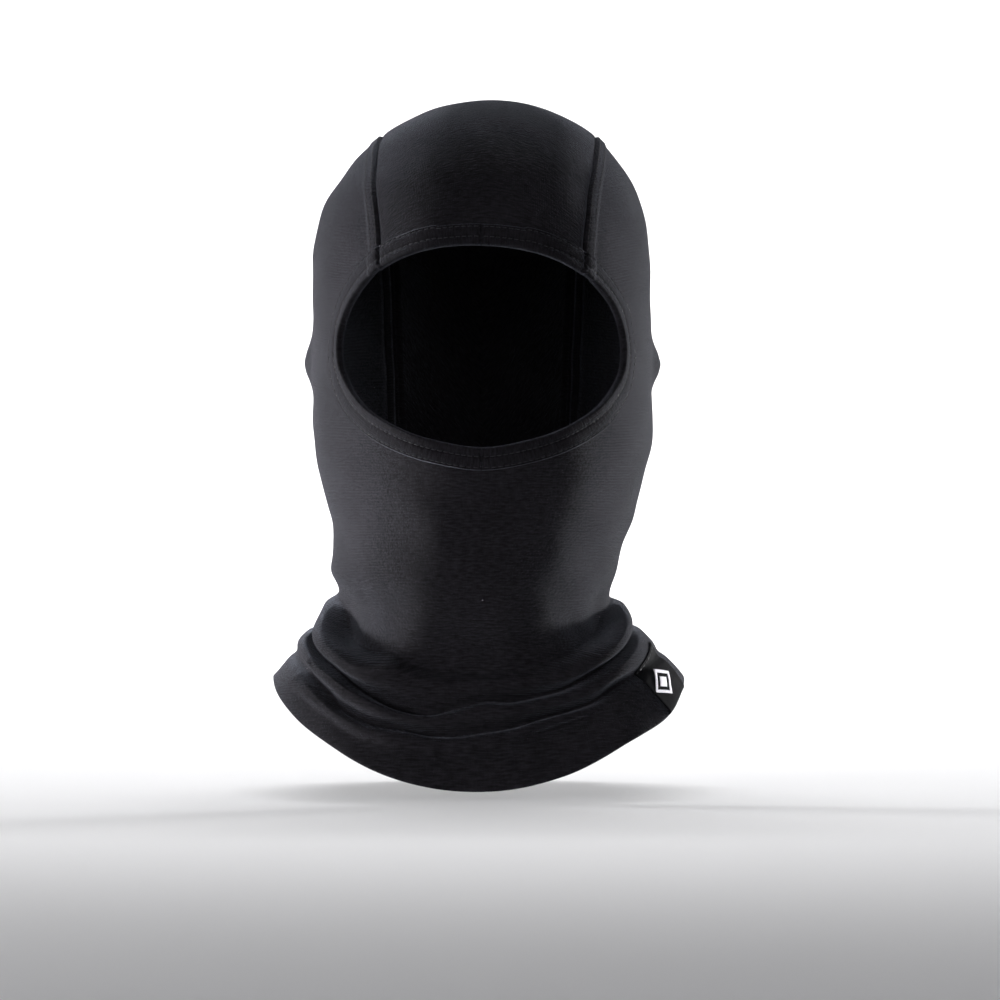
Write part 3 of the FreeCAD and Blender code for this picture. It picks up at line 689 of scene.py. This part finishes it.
def woven(name, colour, roughness, pick, sheen=0.0, specular=0.4):
    """Woven ribbon: fine picks across the tape over closely set warp, pick is their spacing."""
    if name in bpy.data.materials:
        return bpy.data.materials[name]
    made, tree, shader = new_material(name, roughness, sheen=sheen, specular=specular)
    grain = add(tree, "ShaderNodeUVMap", uv_map="grain").outputs[0]
    parts = add(tree, "ShaderNodeSeparateXYZ", {0: grain}).outputs
    warp = calc(tree, "SINE", calc(tree, "MULTIPLY", parts[0], 2 * math.pi / (pick * 0.7)))
    weft = calc(tree, "SINE", calc(tree, "MULTIPLY", parts[1], 2 * math.pi / pick))
    weave = calc(tree, "MULTIPLY", warp, weft)
    uneven = noise(tree, grain, 1600.0)
    # partly painted shade: the colour follows the weave's relief, darker in its dips between the threads,
    # over a random unevenness of tone
    shade = calc(tree, "ADD", calc(tree, "MULTIPLY", weave, 0.2), uneven)
    ribbon = tones(tree, shade, *shades(colour, 0.75, 1.25), ends=(0.25, 0.75))
    tree.links.new(ribbon, shader.inputs["Base Color"])
    relief_normal = bump(tree, calc(tree, "ADD", weave, uneven), 0.6, 0.08 * MM)
    tree.links.new(relief_normal, shader.inputs["Normal"])
    return made


def plain(name, colour, roughness):
    """Matt painted board for the stage, with a trace of unevenness."""
    made, tree, shader = new_material(name, roughness, specular=0.1)
    place = add(tree, "ShaderNodeTexCoord").outputs["Object"]
    painted = tones(tree, noise(tree, place, 4.0), *shades(colour, 0.985, 1))
    tree.links.new(painted, shader.inputs["Base Color"])
    return made


# ------------------------------------------------------------------ what a user can change
def length(name, description, millimetres):
    return bpy.props.FloatProperty(
        name=name, description=description, default=millimetres * MM, unit="LENGTH")


def tint(name, description, text):
    return bpy.props.FloatVectorProperty(
        name=name, description=description, default=srgb(text), subtype="COLOR")


class HoodSizes(bpy.types.PropertyGroup):
    fabric: length("Fabric", "Thickness of the jersey", 1.2)
    turnup: length("Turned hem", "Fabric folded up inside the hem", 26)
    band: length("Face band", "Width of the binding", 11)
    stitch: length("Stitch", "Spacing of the stitches", 2.8)
    thread: length("Thread", "Radius of the sewing thread", 0.2)
    label: length("Label", "Width of the hem label", 25)


class HoodColours(bpy.types.PropertyGroup):
    jersey: tint("Jersey", "Colour of the knitted panels", "151417")
    band: tint("Face band", "Colour of the binding", "131215")
    thread: tint("Thread", "Colour of the sewing thread", "151519")
    label: tint("Label", "Colour of the hem label", "0b0b0e")
    motif: tint("Motif", "Colour of the label's motif", "e8e4f5")
    satin: tint("Care label", "Colour of the care label", "eeeeea")


def panel_jersey(context):
    return jersey("black_wool_jersey", context.scene.hood_colours.jersey, 2.0)


def sewing_thread(context):
    return thread("spun_polyester_thread", context.scene.hood_colours.thread, 0.5)


def looper_thread(context):
    return thread("textured_looper_thread", context.scene.hood_colours.thread, 0.75, 0.3)


# ------------------------------------------------------------------ the panels
PANEL_INSET = 1.2 * MM         # a raw edge stops inside the binding's fold
GRAIN_RADIUS = 95 * MM         # turns azimuth into metres of cloth
TURN_SHARES = np.concatenate(((0.01, 0.02, 0.03, 0.045), np.linspace(0.07, 1, 18)))


def panel_grid(edge, fold, hem, path, s, t, turnup):
    """A panel's points, hem turn last, mirrored from its middle line; and each row's distance from the hem.

    edge, fold and hem run from the middle to the crown seam, and path gives the middle line.
    """
    start, turn = PANEL_INSET / SEAM_LENGTH, 1 - turnup / SEAM_LENGTH
    side = seam_edge(start + (turn - start) * t, 0.0)
    side_turned = seam_edge(turn + (1 - turn) * TURN_SHARES, 0.0)
    edge[-1], fold[-1], hem[-1] = side[0], side[-1], side_turned[-1]
    middle = last_inside(CENTRE, unit(path(edge[0], fold[0], t) - CENTRE))
    middle_turned = last_inside(CENTRE, unit(path(fold[0], hem[0], TURN_SHARES) - CENTRE))
    grid = both_sides(np.concatenate((coons(edge, fold, middle, side, s, t),
                                      coons(fold, hem, middle_turned, side_turned, s, TURN_SHARES))))
    turned = np.concatenate((np.full(len(t), 1.0), (1 - TURN_SHARES) * turnup))
    return grid, np.broadcast_to(turned[:, None], grid.shape[:2])


class HOOD_OT_crown_panel(bpy.types.Operator):
    """Centre strip from the brow over the crown to the back of the hem"""
    bl_idname = "hood.crown_panel"
    bl_label = "Crown panel"

    def execute(self, context):
        turnup = context.scene.hood_sizes.turnup
        s = np.concatenate((np.linspace(0, 0.92, 24), np.linspace(0.93, 1, 9)))
        spread = 180 - (180 - HEM_CORNER) * s
        grid, turned = panel_grid(opening_edge(CORNER * s, PANEL_INSET), above_hem(spread, turnup),
                                  hem_point(spread), meridian, s, eased(0, 1, 230, 0.6), turnup)
        grid = grid[:, ::-1]
        centre = grid.shape[1] // 2
        grid[:, centre, 0] = 0
        steps = np.linalg.norm(np.diff(grid, axis=1), axis=-1)
        u = np.concatenate((np.zeros((len(grid), 1)), np.cumsum(steps, axis=1)), axis=1)
        u -= u[:, [centre]]
        v = np.broadcast_to(lengths(grid[:, centre])[:, None], u.shape)
        piece = cloth_panel("crown_panel_cloth", grid, turned, turnup, np.stack((u, -v), -1),
                            panel_jersey(context))
        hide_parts("crown_panel")
        return {"FINISHED"}


def meridian(a, b, t):
    """Points that turn evenly in the plane of the middle from one point of the form to another."""
    first, last = (math.atan2(p[2] - CENTRE[2], p[1] - CENTRE[1]) for p in (a, b))
    if last > first:
        last -= 2 * math.pi
    if abs(last - first) > math.pi:
        last += 2 * math.pi
    angle = first + (last - first) * np.asarray(t)
    return CENTRE + np.stack((0 * angle, np.cos(angle), np.sin(angle)), -1)


class HOOD_OT_side_and_chin_panel(bpy.types.Operator):
    """Both sides, the chin and the front of the neck in one piece"""
    bl_idname = "hood.side_and_chin_panel"
    bl_label = "Side and chin panel"

    def execute(self, context):
        turnup = context.scene.hood_sizes.turnup
        s = np.concatenate((np.linspace(0, 0.952, 90), np.linspace(0.957, 1, 15)))
        t = np.concatenate((eased(0, 0.64, 66, 0.3), np.linspace(0.64, 1, 110)[1:]))
        grid, turned = panel_grid(opening_edge(1 + (CORNER - 1) * s, PANEL_INSET),
                                  above_hem(HEM_CORNER * s, turnup), hem_point(HEM_CORNER * s),
                                  front_line, s, t, turnup)
        piece = cloth_panel("side_and_chin_panel_cloth", grid, turned, turnup, upright_grain(grid),
                            panel_jersey(context))
        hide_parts("side_and_chin_panel")
        return {"FINISHED"}


def front_line(a, b, t):
    """Points between two points of the middle of the front, in even steps."""
    return a + (b - a) * np.asarray(t)[:, None]


def upright_grain(p):
    """Grain of cloth wrapped upright round the head: wales stand on lines of constant azimuth."""
    half_width, middle, half_depth, _ = section(np.minimum(p[..., 2], DOME_BASE))
    y = np.clip((p[..., 1] - middle) / half_depth, -1, 1)
    x = np.where(p[..., 2] > DOME_BASE, np.sign(p[..., 0]) * (1 - np.abs(y) ** POWER) ** (1 / POWER),
                 p[..., 0] / half_width)
    around = GRAIN_RADIUS * np.arctan2(x, -y)
    climb = np.arcsin(np.clip((p[..., 2] - DOME_BASE) / DOME_HEIGHT, 0, 1))
    return np.stack((around, np.minimum(p[..., 2], DOME_BASE) + DOME_HEIGHT * climb), -1)


# ------------------------------------------------------------------ the face band
SIDES = (("left", 1), ("right", -1))
BAND_LEAF = 0.9 * MM
LAY = 0.3 * MM                 # between two layers of cloth
NEEDLE_ROWS = MM * np.array((4.4, 9.6))
BAND_PUFFS = 0.30 * MM, 0.16 * MM       # rise between the fold and the first row, and between the rows
BAND_DIP, BAND_DIP_SPREAD = 0.26 * MM, 0.42 * MM        # of the needle rows
BAND_EDGE = 0.8 * MM           # over which its far edge rounds off
BAND_JOIN = 0.12 * MM          # from the middle to the end of each half
PINCH, PINCH_SPREAD = 0.35 * MM, 0.9 * MM       # how the band thins to those ends
END_STEP = 0.4 * MM            # between its sections there


def band_profile(width, fabric):
    """Section of the folded binding as offset and height: outside, round the fold, inside, and back."""
    top, low = LAY + BAND_LEAF, -fabric - LAY - BAND_LEAF
    offset = np.linspace(width, BAND_LEAF, 26)
    edge = np.clip((offset - width + BAND_EDGE) / BAND_EDGE, 0, 1)
    first, second = NEEDLE_ROWS
    puff = (BAND_PUFFS[0] * np.sin(math.pi * np.clip(offset / first, 0, 1))
            + BAND_PUFFS[1] * np.sin(math.pi * np.clip((offset - first) / (second - first), 0, 1)))
    dips = sum(np.exp(-(((offset - row) / BAND_DIP_SPREAD) ** 2)) for row in NEEDLE_ROWS)
    height = top - BAND_LEAF * 0.9 * (1 - np.sqrt(1 - edge**2)) + puff - BAND_DIP * dips
    turns = np.linspace(0, math.pi, 13)[1:-1]
    fold = np.stack((BAND_LEAF * (1 - np.sin(turns)),
                     (top + low) / 2 + (top - low) / 2 * np.cos(turns)), -1)
    outside = np.stack((offset, height), -1)
    back = offset[::-1]
    inside = np.stack((back, low - 0.5 * (height[::-1] - top)), -1)
    under = low + BAND_LEAF
    crease = BAND_LEAF * 1.05
    lining = np.array(((width, under), (6 * MM, under), (crease, under),
                       (crease, LAY), (6 * MM, LAY), (width, LAY)))
    return np.concatenate((outside, fold, inside, lining))


def beside_line(edge, shares, offsets, side):
    """Cloth frames beside a line for each share and offset, on one side of the hood."""
    base = np.stack([edge(shares, offset) for offset in offsets], 1)
    ahead = np.gradient(base, axis=0)
    if side < 0:
        base, ahead = mirror(base), mirror(ahead)
    return cloth_frame(base, ahead)


class HOOD_OT_face_band(bpy.types.Operator):
    """The strip folded over the opening's raw edge, in two halves joined at brow and lip"""
    bl_idname = "hood.face_band"
    bl_label = "Face band"

    def execute(self, context):
        sizes = context.scene.hood_sizes
        material = jersey("black_jersey_binding", context.scene.hood_colours.band, 1.9)
        profile = band_profile(sizes.band, sizes.fabric)
        gap, step = BAND_JOIN / OPENING_LENGTH, END_STEP / OPENING_LENGTH
        shares = eased(gap, 1 - gap, 250)
        shares = np.concatenate((shares[:1], shares[0] + step * np.arange(1, 5), shares[3:-3],
                                 shares[-1] - step * np.arange(4, 0, -1), shares[-1:]))
        from_end = np.minimum(shares - shares[0], shares[-1] - shares) * OPENING_LENGTH
        pinch = (PINCH * np.exp(-((from_end / PINCH_SPREAD) ** 2)))[:, None]
        middle = -sizes.fabric / 2
        offsets, where = np.unique(np.round(profile[:, 0], 6), return_inverse=True)
        for name, side in SIDES:
            place, face, _ = beside_line(opening_edge, shares, offsets, side)
            heights = profile[None, :, 1] - np.sign(profile[None, :, 1] - middle) * pinch
            rings = place[:, where] + face[:, where] * heights[..., None]
            if side < 0:
                rings = rings[:, ::-1]
            around = np.cumsum(np.r_[0, np.linalg.norm(np.diff(profile, axis=0), axis=1)])
            around = around[::-1] if side < 0 else around
            grain = np.stack(np.broadcast_arrays(around[None, :], (shares * OPENING_LENGTH)[:, None]), -1)
            piece = tube(name + "_face_binding_cloth", rings, material, grain=grain)
            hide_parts(name + "_face_binding")
        return {"FINISHED"}


def evenly_spaced(length, pitch, start=0.0, end=0.0):
    """Shares of a line for pieces a pitch apart."""
    count = int((length - start - end) / pitch)
    return (start + (length - start - end) * (np.arange(count) + 0.5) / count) / length


class HOOD_OT_band_stitching(bpy.types.Operator):
    """Coverstitch of the face band: two needle rows outside, looper threads inside"""
    bl_idname = "hood.band_stitching"
    bl_label = "Band stitching"

    def execute(self, context):
        sizes = context.scene.hood_sizes
        material = sewing_thread(context)
        shares = evenly_spaced(OPENING_LENGTH, sizes.stitch, 0.8 * MM, 0.8 * MM)
        low, apart = -sizes.fabric - LAY - BAND_LEAF, NEEDLE_ROWS[1] - NEEDLE_ROWS[0]
        for name, side in SIDES:
            place, face, forward = beside_line(opening_edge, shares, NEEDLE_ROWS, side)
            rise = LAY + BAND_LEAF - 0.1 * MM
            piece = stitches(name + "_binding_needle_threads", place, face, forward,
                             sizes.stitch * 0.8, sizes.thread, material, rise=rise)
            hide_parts(name + "_binding_coverstitch")
            half = np.linspace(0, 1, 2 * len(shares))[1:-1]
            place, face, forward = beside_line(opening_edge, half, [NEEDLE_ROWS.mean()], side)
            slant = np.where(np.arange(len(half)) % 2 == 0, 1.0, -1.0)[:, None, None]
            lean = unit(np.cross(face, forward) * apart + forward * slant * sizes.stitch * 0.5)
            piece = stitches(name + "_binding_looper_loops", place + face * (low - 0.05 * MM), -face, lean,
                             apart * 1.02, sizes.thread * 0.9, looper_thread(context))
            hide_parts(name + "_binding_looper_thread")
        return {"FINISHED"}


# ------------------------------------------------------------------ the crown seams
ALLOWANCE_WIDTH = 6 * MM
ALLOWANCE_MIDDLE = 0.58        # where its middle lies from the seam, in widths
ALLOWANCE = 1.6 * MM           # its thickness
WRAP_PITCH = 1.7 * MM          # from one overlock loop to the next


class HOOD_OT_crown_seams(bpy.types.Operator):
    """Topstitching outside and the overlocked allowances inside, on both crown seams"""
    bl_idname = "hood.crown_seams"
    bl_label = "Crown seams"

    def execute(self, context):
        sizes = context.scene.hood_sizes
        shares = evenly_spaced(SEAM_LENGTH, sizes.stitch, sizes.band + 0.5 * MM, 1 * MM)
        start = (sizes.band + 1 * MM) / SEAM_LENGTH
        end = 1 - (sizes.turnup + 3 * MM) / SEAM_LENGTH
        loops = looper_thread(context)
        turns = np.linspace(0, 2 * math.pi, 20, endpoint=False)
        flat = np.sign(np.cos(turns)) * np.abs(np.cos(turns)) ** 0.5
        offsets = ALLOWANCE_WIDTH * (ALLOWANCE_MIDDLE - 0.5 * flat)
        depth = -sizes.fabric - LAY / 2 - ALLOWANCE * (0.5 + 0.5 * np.sin(turns))
        for name, side in SIDES:
            place, face, forward = beside_line(seam_edge, shares, TOPSTITCH, side)
            piece = stitches(name + "_crown_topstitch_threads", place, face, forward,
                             sizes.stitch * 0.78, sizes.thread, sewing_thread(context))
            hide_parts(name + "_crown_topstitch")
            steps = np.linspace(start, end, 230)
            lines = np.unique(offsets.round(7))
            place, face, forward = beside_line(seam_edge, steps, lines, side)
            where = np.searchsorted(lines, offsets.round(7))
            rings = place[:, where] + face[:, where] * depth[None, :, None]
            if side > 0:
                rings = rings[:, ::-1]
            strip = tube(name + "_crown_seam_allowance", rings, loops)
            over = np.linspace(start + 0.002, end - 0.002, int(SEAM_LENGTH / WRAP_PITCH))
            place, face, forward = beside_line(seam_edge, over, [ALLOWANCE_WIDTH * ALLOWANCE_MIDDLE], side)
            lean = unit(np.cross(face, forward) + 0.25 * forward)
            deep = -sizes.fabric - LAY / 2 - ALLOWANCE
            wraps = stitches(name + "_crown_seam_overlock_loops", place + face * deep, -face, lean,
                             ALLOWANCE_WIDTH, sizes.thread * 1.1, loops)
            for piece in (strip, wraps):
                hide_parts(name + "_crown_seam_overlock")
        return {"FINISHED"}


# ------------------------------------------------------------------ hem stitching and labels
def thicken(piece, thickness):
    """Gives a ribbon its thickness, half to each side."""
    thick = piece.modifiers.new("thickness", "SOLIDIFY")
    thick.thickness = thickness
    thick.offset = 0


HEM_STITCH_HEIGHT = 23.5 * MM
LABEL_AZIMUTH = 62.0
LABEL_LENGTH = 25.5 * MM
LABEL_LEAF = 0.5 * MM
LABEL_STAND, LABEL_FLARE = 0.45 * MM, 0.5 * MM  # how far its outer leaf stands off, and more at the fold
LABEL_TURN, LABEL_BULGE = 1.5 * MM, 2.4 * MM    # height where the fold begins, and its depth below that
MOTIF_HALF = MM * np.array((9.0, 7.0))  # half its width along the hem, half its height
MOTIF_BAR = 1.3 * MM
RIBBON = 0.18 * MM             # thickness of the care label
MOTIF_PLACE = (-2.2 * MM, -1.4 * MM)    # from the label's middle: along the hem and up


def by_hem(degrees, height):
    """Cloth frames above the hem's edge."""
    base = above_hem(degrees, height)
    ahead = above_hem(degrees + 0.4, height) - base
    return cloth_frame(base, ahead)


class HOOD_OT_hem_stitching(bpy.types.Operator):
    """The thread that holds the turned hem, inside"""
    bl_idname = "hood.hem_stitching"
    bl_label = "Hem stitching"

    def execute(self, context):
        sizes = context.scene.hood_sizes
        degrees = np.linspace(-180, 180, 1440, endpoint=False)
        ring = above_hem(degrees, HEM_STITCH_HEIGHT)
        along = lengths(ring)
        count = int(along[-1] / sizes.stitch)
        degrees = np.interp(np.linspace(0, 1, count, endpoint=False), along / along[-1], degrees)
        place, face, forward = by_hem(degrees, np.full(count, HEM_STITCH_HEIGHT))
        deep = -2.05 * sizes.fabric
        piece = stitches("hem_stitch_threads", place + face * deep, -face, forward, sizes.stitch * 0.8,
                         sizes.thread, sewing_thread(context))
        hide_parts("hem_stitch")
        return {"FINISHED"}


def label_degrees(x):
    """Azimuth at a distance along the hem from the label's middle."""
    reach = np.linalg.norm(np.diff(hem_point(np.array((LABEL_AZIMUTH - 1, LABEL_AZIMUTH + 1))), axis=0)) / 2
    return LABEL_AZIMUTH + np.asarray(x) / reach


def on_label(x, y, lift):
    """Points of the label's outer face: x along the hem, y up from its middle."""
    across, up = MOTIF_PLACE
    place, face, _ = by_hem(label_degrees(np.asarray(x) + across), LABEL_LENGTH / 2 + up + np.asarray(y))
    return place + face * np.asarray(lift)[..., None]


class HOOD_OT_hem_label(bpy.types.Operator):
    """A woven tape folded round the hem, with a plain lozenge motif"""
    bl_idname = "hood.hem_label"
    bl_label = "Hem label"

    def execute(self, context):
        sizes, colours = context.scene.hood_sizes, context.scene.hood_colours
        tape = woven("black_woven_label_tape", colours.label, 0.85, 0.5 * MM, specular=0.04)
        x = np.linspace(-0.5, 0.5, 27) * sizes.label
        up = np.linspace(LABEL_LENGTH, LABEL_TURN, 22)
        stand = LABEL_STAND + LABEL_FLARE * soft_step(LABEL_LENGTH * 0.8, 0, up)
        bottom = -2.1 * sizes.fabric - 0.9 * MM
        turns = np.linspace(0, math.pi, 9)[1:-1]
        low = np.stack((LABEL_TURN - LABEL_BULGE * np.sin(turns),
                        (stand[-1] + bottom) / 2 + (stand[-1] - bottom) / 2 * np.cos(turns)), -1)
        profile = np.concatenate((np.stack((up, stand), -1), low,
                                  np.stack((up[::-1], np.full(len(up), bottom)), -1)))
        grid_x, height = np.meshgrid(x, profile[:, 0], indexing="ij")
        lift = np.broadcast_to(profile[:, 1], height.shape).copy()
        curl = 0.5 * MM * np.abs(grid_x / sizes.label * 2) ** 4 * (height < LABEL_LENGTH * 0.75)
        lift += np.where(lift > 0, curl, 0)
        place, face, _ = by_hem(label_degrees(grid_x), height)
        along = np.cumsum(np.r_[0, np.linalg.norm(np.diff(profile, axis=0), axis=1)])
        grain = np.stack(np.broadcast_arrays(grid_x, -along[None, :]), -1)
        points = place + face * lift[..., None]
        piece = make_mesh("hem_label_tape", points, grid_quads(*height.shape), tape, grain)
        thicken(piece, LABEL_LEAF)
        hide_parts("hem_label")

        white = woven("pale_motif_threads", colours.motif, 0.55, 0.45 * MM, sheen=0.1)
        base = LABEL_STAND + LABEL_LEAF / 2 + 0.28 * MM
        corner = np.linspace(0, 4, 48, endpoint=False)
        ring = np.stack((1 - np.abs((corner + 2) % 4 - 2), 1 - np.abs((corner + 1) % 4 - 2)), -1)
        inner = 1 - MOTIF_BAR * math.sqrt(2) / MOTIF_HALF[1]
        rows = ((1, 0.0), (1, 0.16 * MM), (0.985, 0.22 * MM), (inner + 0.015, 0.22 * MM),
                (inner, 0.16 * MM), (inner, 0.0))
        shares = np.array([share for share, _ in rows])[:, None, None] * ring * MOTIF_HALF
        lift = base + np.array([h for _, h in rows])[:, None] + 0 * shares[..., 0]
        lift += 0.25 * MM * soft_step(0, -LABEL_LENGTH / 2, shares[..., 1])
        frame_ring = on_label(shares[..., 0], shares[..., 1], lift)
        quads = grid_quads(*lift.shape, wrap_rows=True, wrap_columns=True)[:, ::-1]
        outline = make_mesh("hem_label_motif_outline", frame_ring, quads, white, grain=shares)
        small = np.array((0.42, 0.42, 0.38))[:, None, None] * ring[::2] * MOTIF_HALF
        small_lift = base + np.array((0.05, 0.23, 0.29))[:, None] * MM + 0 * small[..., 0]
        middle = tube("hem_label_motif_middle", on_label(small[..., 0], small[..., 1], small_lift), white,
                      grain=small)
        for piece in (outline, middle):
            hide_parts("hem_label_motif")

        x = (np.arange(9) - 4) / 9 * sizes.label * 0.98
        place, face, forward = by_hem(label_degrees(x), np.full(9, LABEL_LENGTH - 1.6 * MM))
        lift = face * (LABEL_STAND + LABEL_LEAF / 2)
        under = face * (bottom - LABEL_LEAF / 2)
        piece = stitches("hem_label_stitch_threads", np.concatenate((place + lift, place + under)),
                         np.concatenate((face, -face)), np.concatenate((forward, forward)),
                         sizes.stitch * 0.8, sizes.thread, sewing_thread(context))
        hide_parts("hem_label_stitch")
        return {"FINISHED"}


class HOOD_OT_care_label(bpy.types.Operator):
    """A plain satin ribbon that hangs inside the nape"""
    bl_idname = "hood.care_label"
    bl_label = "Care label"

    def execute(self, context):
        satin = woven("white_satin_ribbon", context.scene.hood_colours.satin, 0.35, 0.4 * MM, specular=0.6)
        low, high = (np.array(corner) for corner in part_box("care_label"))
        x = np.linspace(low[0], high[0], 26)
        drop = np.linspace(0, 1, 36)
        middle = (low[1] + high[1]) / 2
        grids = []
        for lean in (-1, 1):
            bow = lean * 0.45 * MM * np.sin(math.pi * drop) ** 0.7 + 0.5 * MM * np.sin(2.2 * math.pi * drop)
            grids.append(np.stack(np.broadcast_arrays(
                x[:, None], middle + bow[None, :] + 0.35 * MM * np.sin(x / (4 * MM))[:, None] * drop,
                high[2] + (low[2] - high[2]) * drop[None, :]), -1))
        points = np.concatenate((grids[0], grids[1][:, ::-1]), axis=1)
        along = np.linspace(0, 2 * (high[2] - low[2]), points.shape[1])
        grain = np.stack(np.broadcast_arrays(x[:, None], along[None, :]), -1)
        piece = make_mesh("care_label_ribbon", points, grid_quads(*points.shape[:2]), satin, grain,
                          body="care_label")
        thicken(piece, RIBBON)
        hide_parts("care_label")
        low, high = (np.array(corner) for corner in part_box("care_label_stitch"))
        x = np.linspace(low[0], high[0], 9)
        base = last_inside(np.stack((x, 0 * x, 0 * x + (low[2] + high[2]) / 2), -1),
                           np.broadcast_to((0, 1.0, 0), (9, 3)))
        place, face, forward = cloth_frame(base, np.broadcast_to((1.0, 0, 0), (9, 3)))
        deep = -context.scene.hood_sizes.fabric
        piece = stitches("care_label_stitch_threads", place + face * deep, -face, forward, 2.2 * MM, 0.2 * MM,
                         thread("white_sewing_thread", context.scene.hood_colours.satin, 0.5))
        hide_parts("care_label_stitch")
        return {"FINISHED"}


# ------------------------------------------------------------------ the stage
# Lamps: name, place, size, power, what it faces, and the spread of its beam in degrees.
LAMPS = (("right_softbox", (-1.5, 0.45, -0.06), (1.0, 0.2), 5.2, (0, 0, -0.06), 20),
         ("left_softbox", (1.5, 1.0, -0.06), (1.0, 0.2), 3.5, (0, 0, -0.06), 20),
         ("low_fill", (-1.6, -1.3, -0.1), (1.0, 0.2), 1.7, (0, 0, -0.3), 40),
         ("front_fill", (0.3, -2.2, 0.3), (0.8, 0.8), 5, (0, 0, -0.14), 180),
         ("wall_wash", (0, 1.7, 2.6), (4.0, 0.6), 84, (0, 2.2, -0.3), 110))
FLOOR_NEAR, FLOOR_FAR, WALL_TOP, SWEEP_BEND = -6, 2, 7, 1.2
SWEEP_HALF = 7                 # half width of floor and wall
WORLD_LEVEL, WORLD_SIDES, WORLD_FADE = 0.38, 0.45, 0.9  # strength, more at the sides, share lost overhead
CAMERA_PLACE, LENS, SENSOR = (0.009, -2.0, -0.0725), 144, 36


class HOOD_OT_stage(bpy.types.Operator):
    """Pale floor and wall, soft studio lights and the camera"""
    bl_idname = "hood.stage"
    bl_label = "Stage"

    def execute(self, context):
        scene = context.scene
        floor_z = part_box("side_and_chin_panel")[0][2] - 4 * MM
        turns = np.linspace(0, math.pi / 2, 24)
        corner = np.stack((FLOOR_FAR + SWEEP_BEND * np.sin(turns), SWEEP_BEND * (1 - np.cos(turns))), -1)
        line = np.concatenate((((FLOOR_NEAR, 0),), corner, ((FLOOR_FAR + SWEEP_BEND, WALL_TOP),)))
        x = np.linspace(-SWEEP_HALF, SWEEP_HALF, 3)
        grid = np.stack(np.broadcast_arrays(x[None, :], line[:, :1], line[:, 1:] + floor_z), -1)
        mesh = bpy.data.meshes.new("stage_sweep")
        quads = grid_quads(*grid.shape[:2])[:, ::-1].tolist()
        mesh.from_pydata(grid.reshape(-1, 3).tolist(), [], quads)
        mesh.polygons.foreach_set("use_smooth", [True] * len(quads))
        mesh.materials.append(plain("pale_painted_sweep", srgb("f0f0f1"), 0.9))
        sweep = bpy.data.objects.new("stage_sweep", mesh)
        scene.collection.objects.link(sweep)
        for name, where, size, power, towards, spread in LAMPS:
            data = bpy.data.lights.new(name, "AREA")
            data.shape = "RECTANGLE"
            data.size, data.size_y = size
            data.energy, data.spread = power, math.radians(spread)
            lamp = bpy.data.objects.new(name, data)
            lamp.location = where
            lamp.visible_camera = False
            aim = Vector(towards) - Vector(where)
            lamp.rotation_euler = aim.to_track_quat("-Z", "Y").to_euler()
            scene.collection.objects.link(lamp)
        world = scene.world or bpy.data.worlds.new("studio")
        scene.world = world
        world.use_nodes = True
        tree = world.node_tree
        back = tree.nodes["Background"]
        back.inputs["Color"].default_value = srgb("f8f8fb") + [1]
        way = add(tree, "ShaderNodeTexCoord").outputs["Generated"]
        parts = add(tree, "ShaderNodeSeparateXYZ", {0: way}).outputs
        sideways = calc(tree, "POWER", calc(tree, "ABSOLUTE", parts[0]), 2.0)
        sides = calc(tree, "MULTIPLY", sideways, WORLD_SIDES)
        overhead = calc(tree, "MULTIPLY", calc(tree, "MAXIMUM", parts[2], 0.0), WORLD_FADE)
        glow = calc(tree, "MULTIPLY", calc(tree, "ADD", sides, WORLD_LEVEL),
                    calc(tree, "SUBTRACT", 1.0, overhead))
        tree.links.new(glow, back.inputs["Strength"])
        data = bpy.data.cameras.new("camera")
        data.lens, data.sensor_width = LENS, SENSOR
        camera = bpy.data.objects.new("camera", data)
        camera.location = CAMERA_PLACE
        camera.rotation_euler = (math.pi / 2, 0, 0)
        scene.collection.objects.link(camera)
        scene.camera = camera
        scene.view_settings.view_transform = "Standard"
        return {"FINISHED"}


class HOOD_PT_panel(bpy.types.Panel):
    bl_label = "Balaclava"
    bl_idname = "HOOD_PT_panel"
    bl_space_type = "VIEW_3D"
    bl_region_type = "UI"
    bl_category = "Balaclava"

    def draw(self, context):
        for group in (context.scene.hood_sizes, context.scene.hood_colours):
            box = self.layout.box()
            for name in group.bl_rna.properties.keys():
                if name not in ("rna_type", "name"):
                    box.prop(group, name)
        for operator in OPERATORS:
            self.layout.operator(operator.bl_idname)


OPERATORS = (HOOD_OT_stage, HOOD_OT_crown_panel, HOOD_OT_side_and_chin_panel, HOOD_OT_face_band,
             HOOD_OT_band_stitching, HOOD_OT_crown_seams, HOOD_OT_hem_stitching, HOOD_OT_hem_label,
             HOOD_OT_care_label)
CLASSES = (HoodSizes, HoodColours) + OPERATORS + (HOOD_PT_panel,)


def register():
    for each in CLASSES:
        bpy.utils.register_class(each)
    bpy.types.Scene.hood_sizes = bpy.props.PointerProperty(type=HoodSizes)
    bpy.types.Scene.hood_colours = bpy.props.PointerProperty(type=HoodColours)


def unregister():
    del bpy.types.Scene.hood_colours
    del bpy.types.Scene.hood_sizes
    for each in reversed(CLASSES):
        bpy.utils.unregister_class(each)


def main():
    register()
    for operator in OPERATORS:
        group, name = operator.bl_idname.split(".")
        getattr(getattr(bpy.ops, group), name)()


if __name__ == "__main__":
    main()
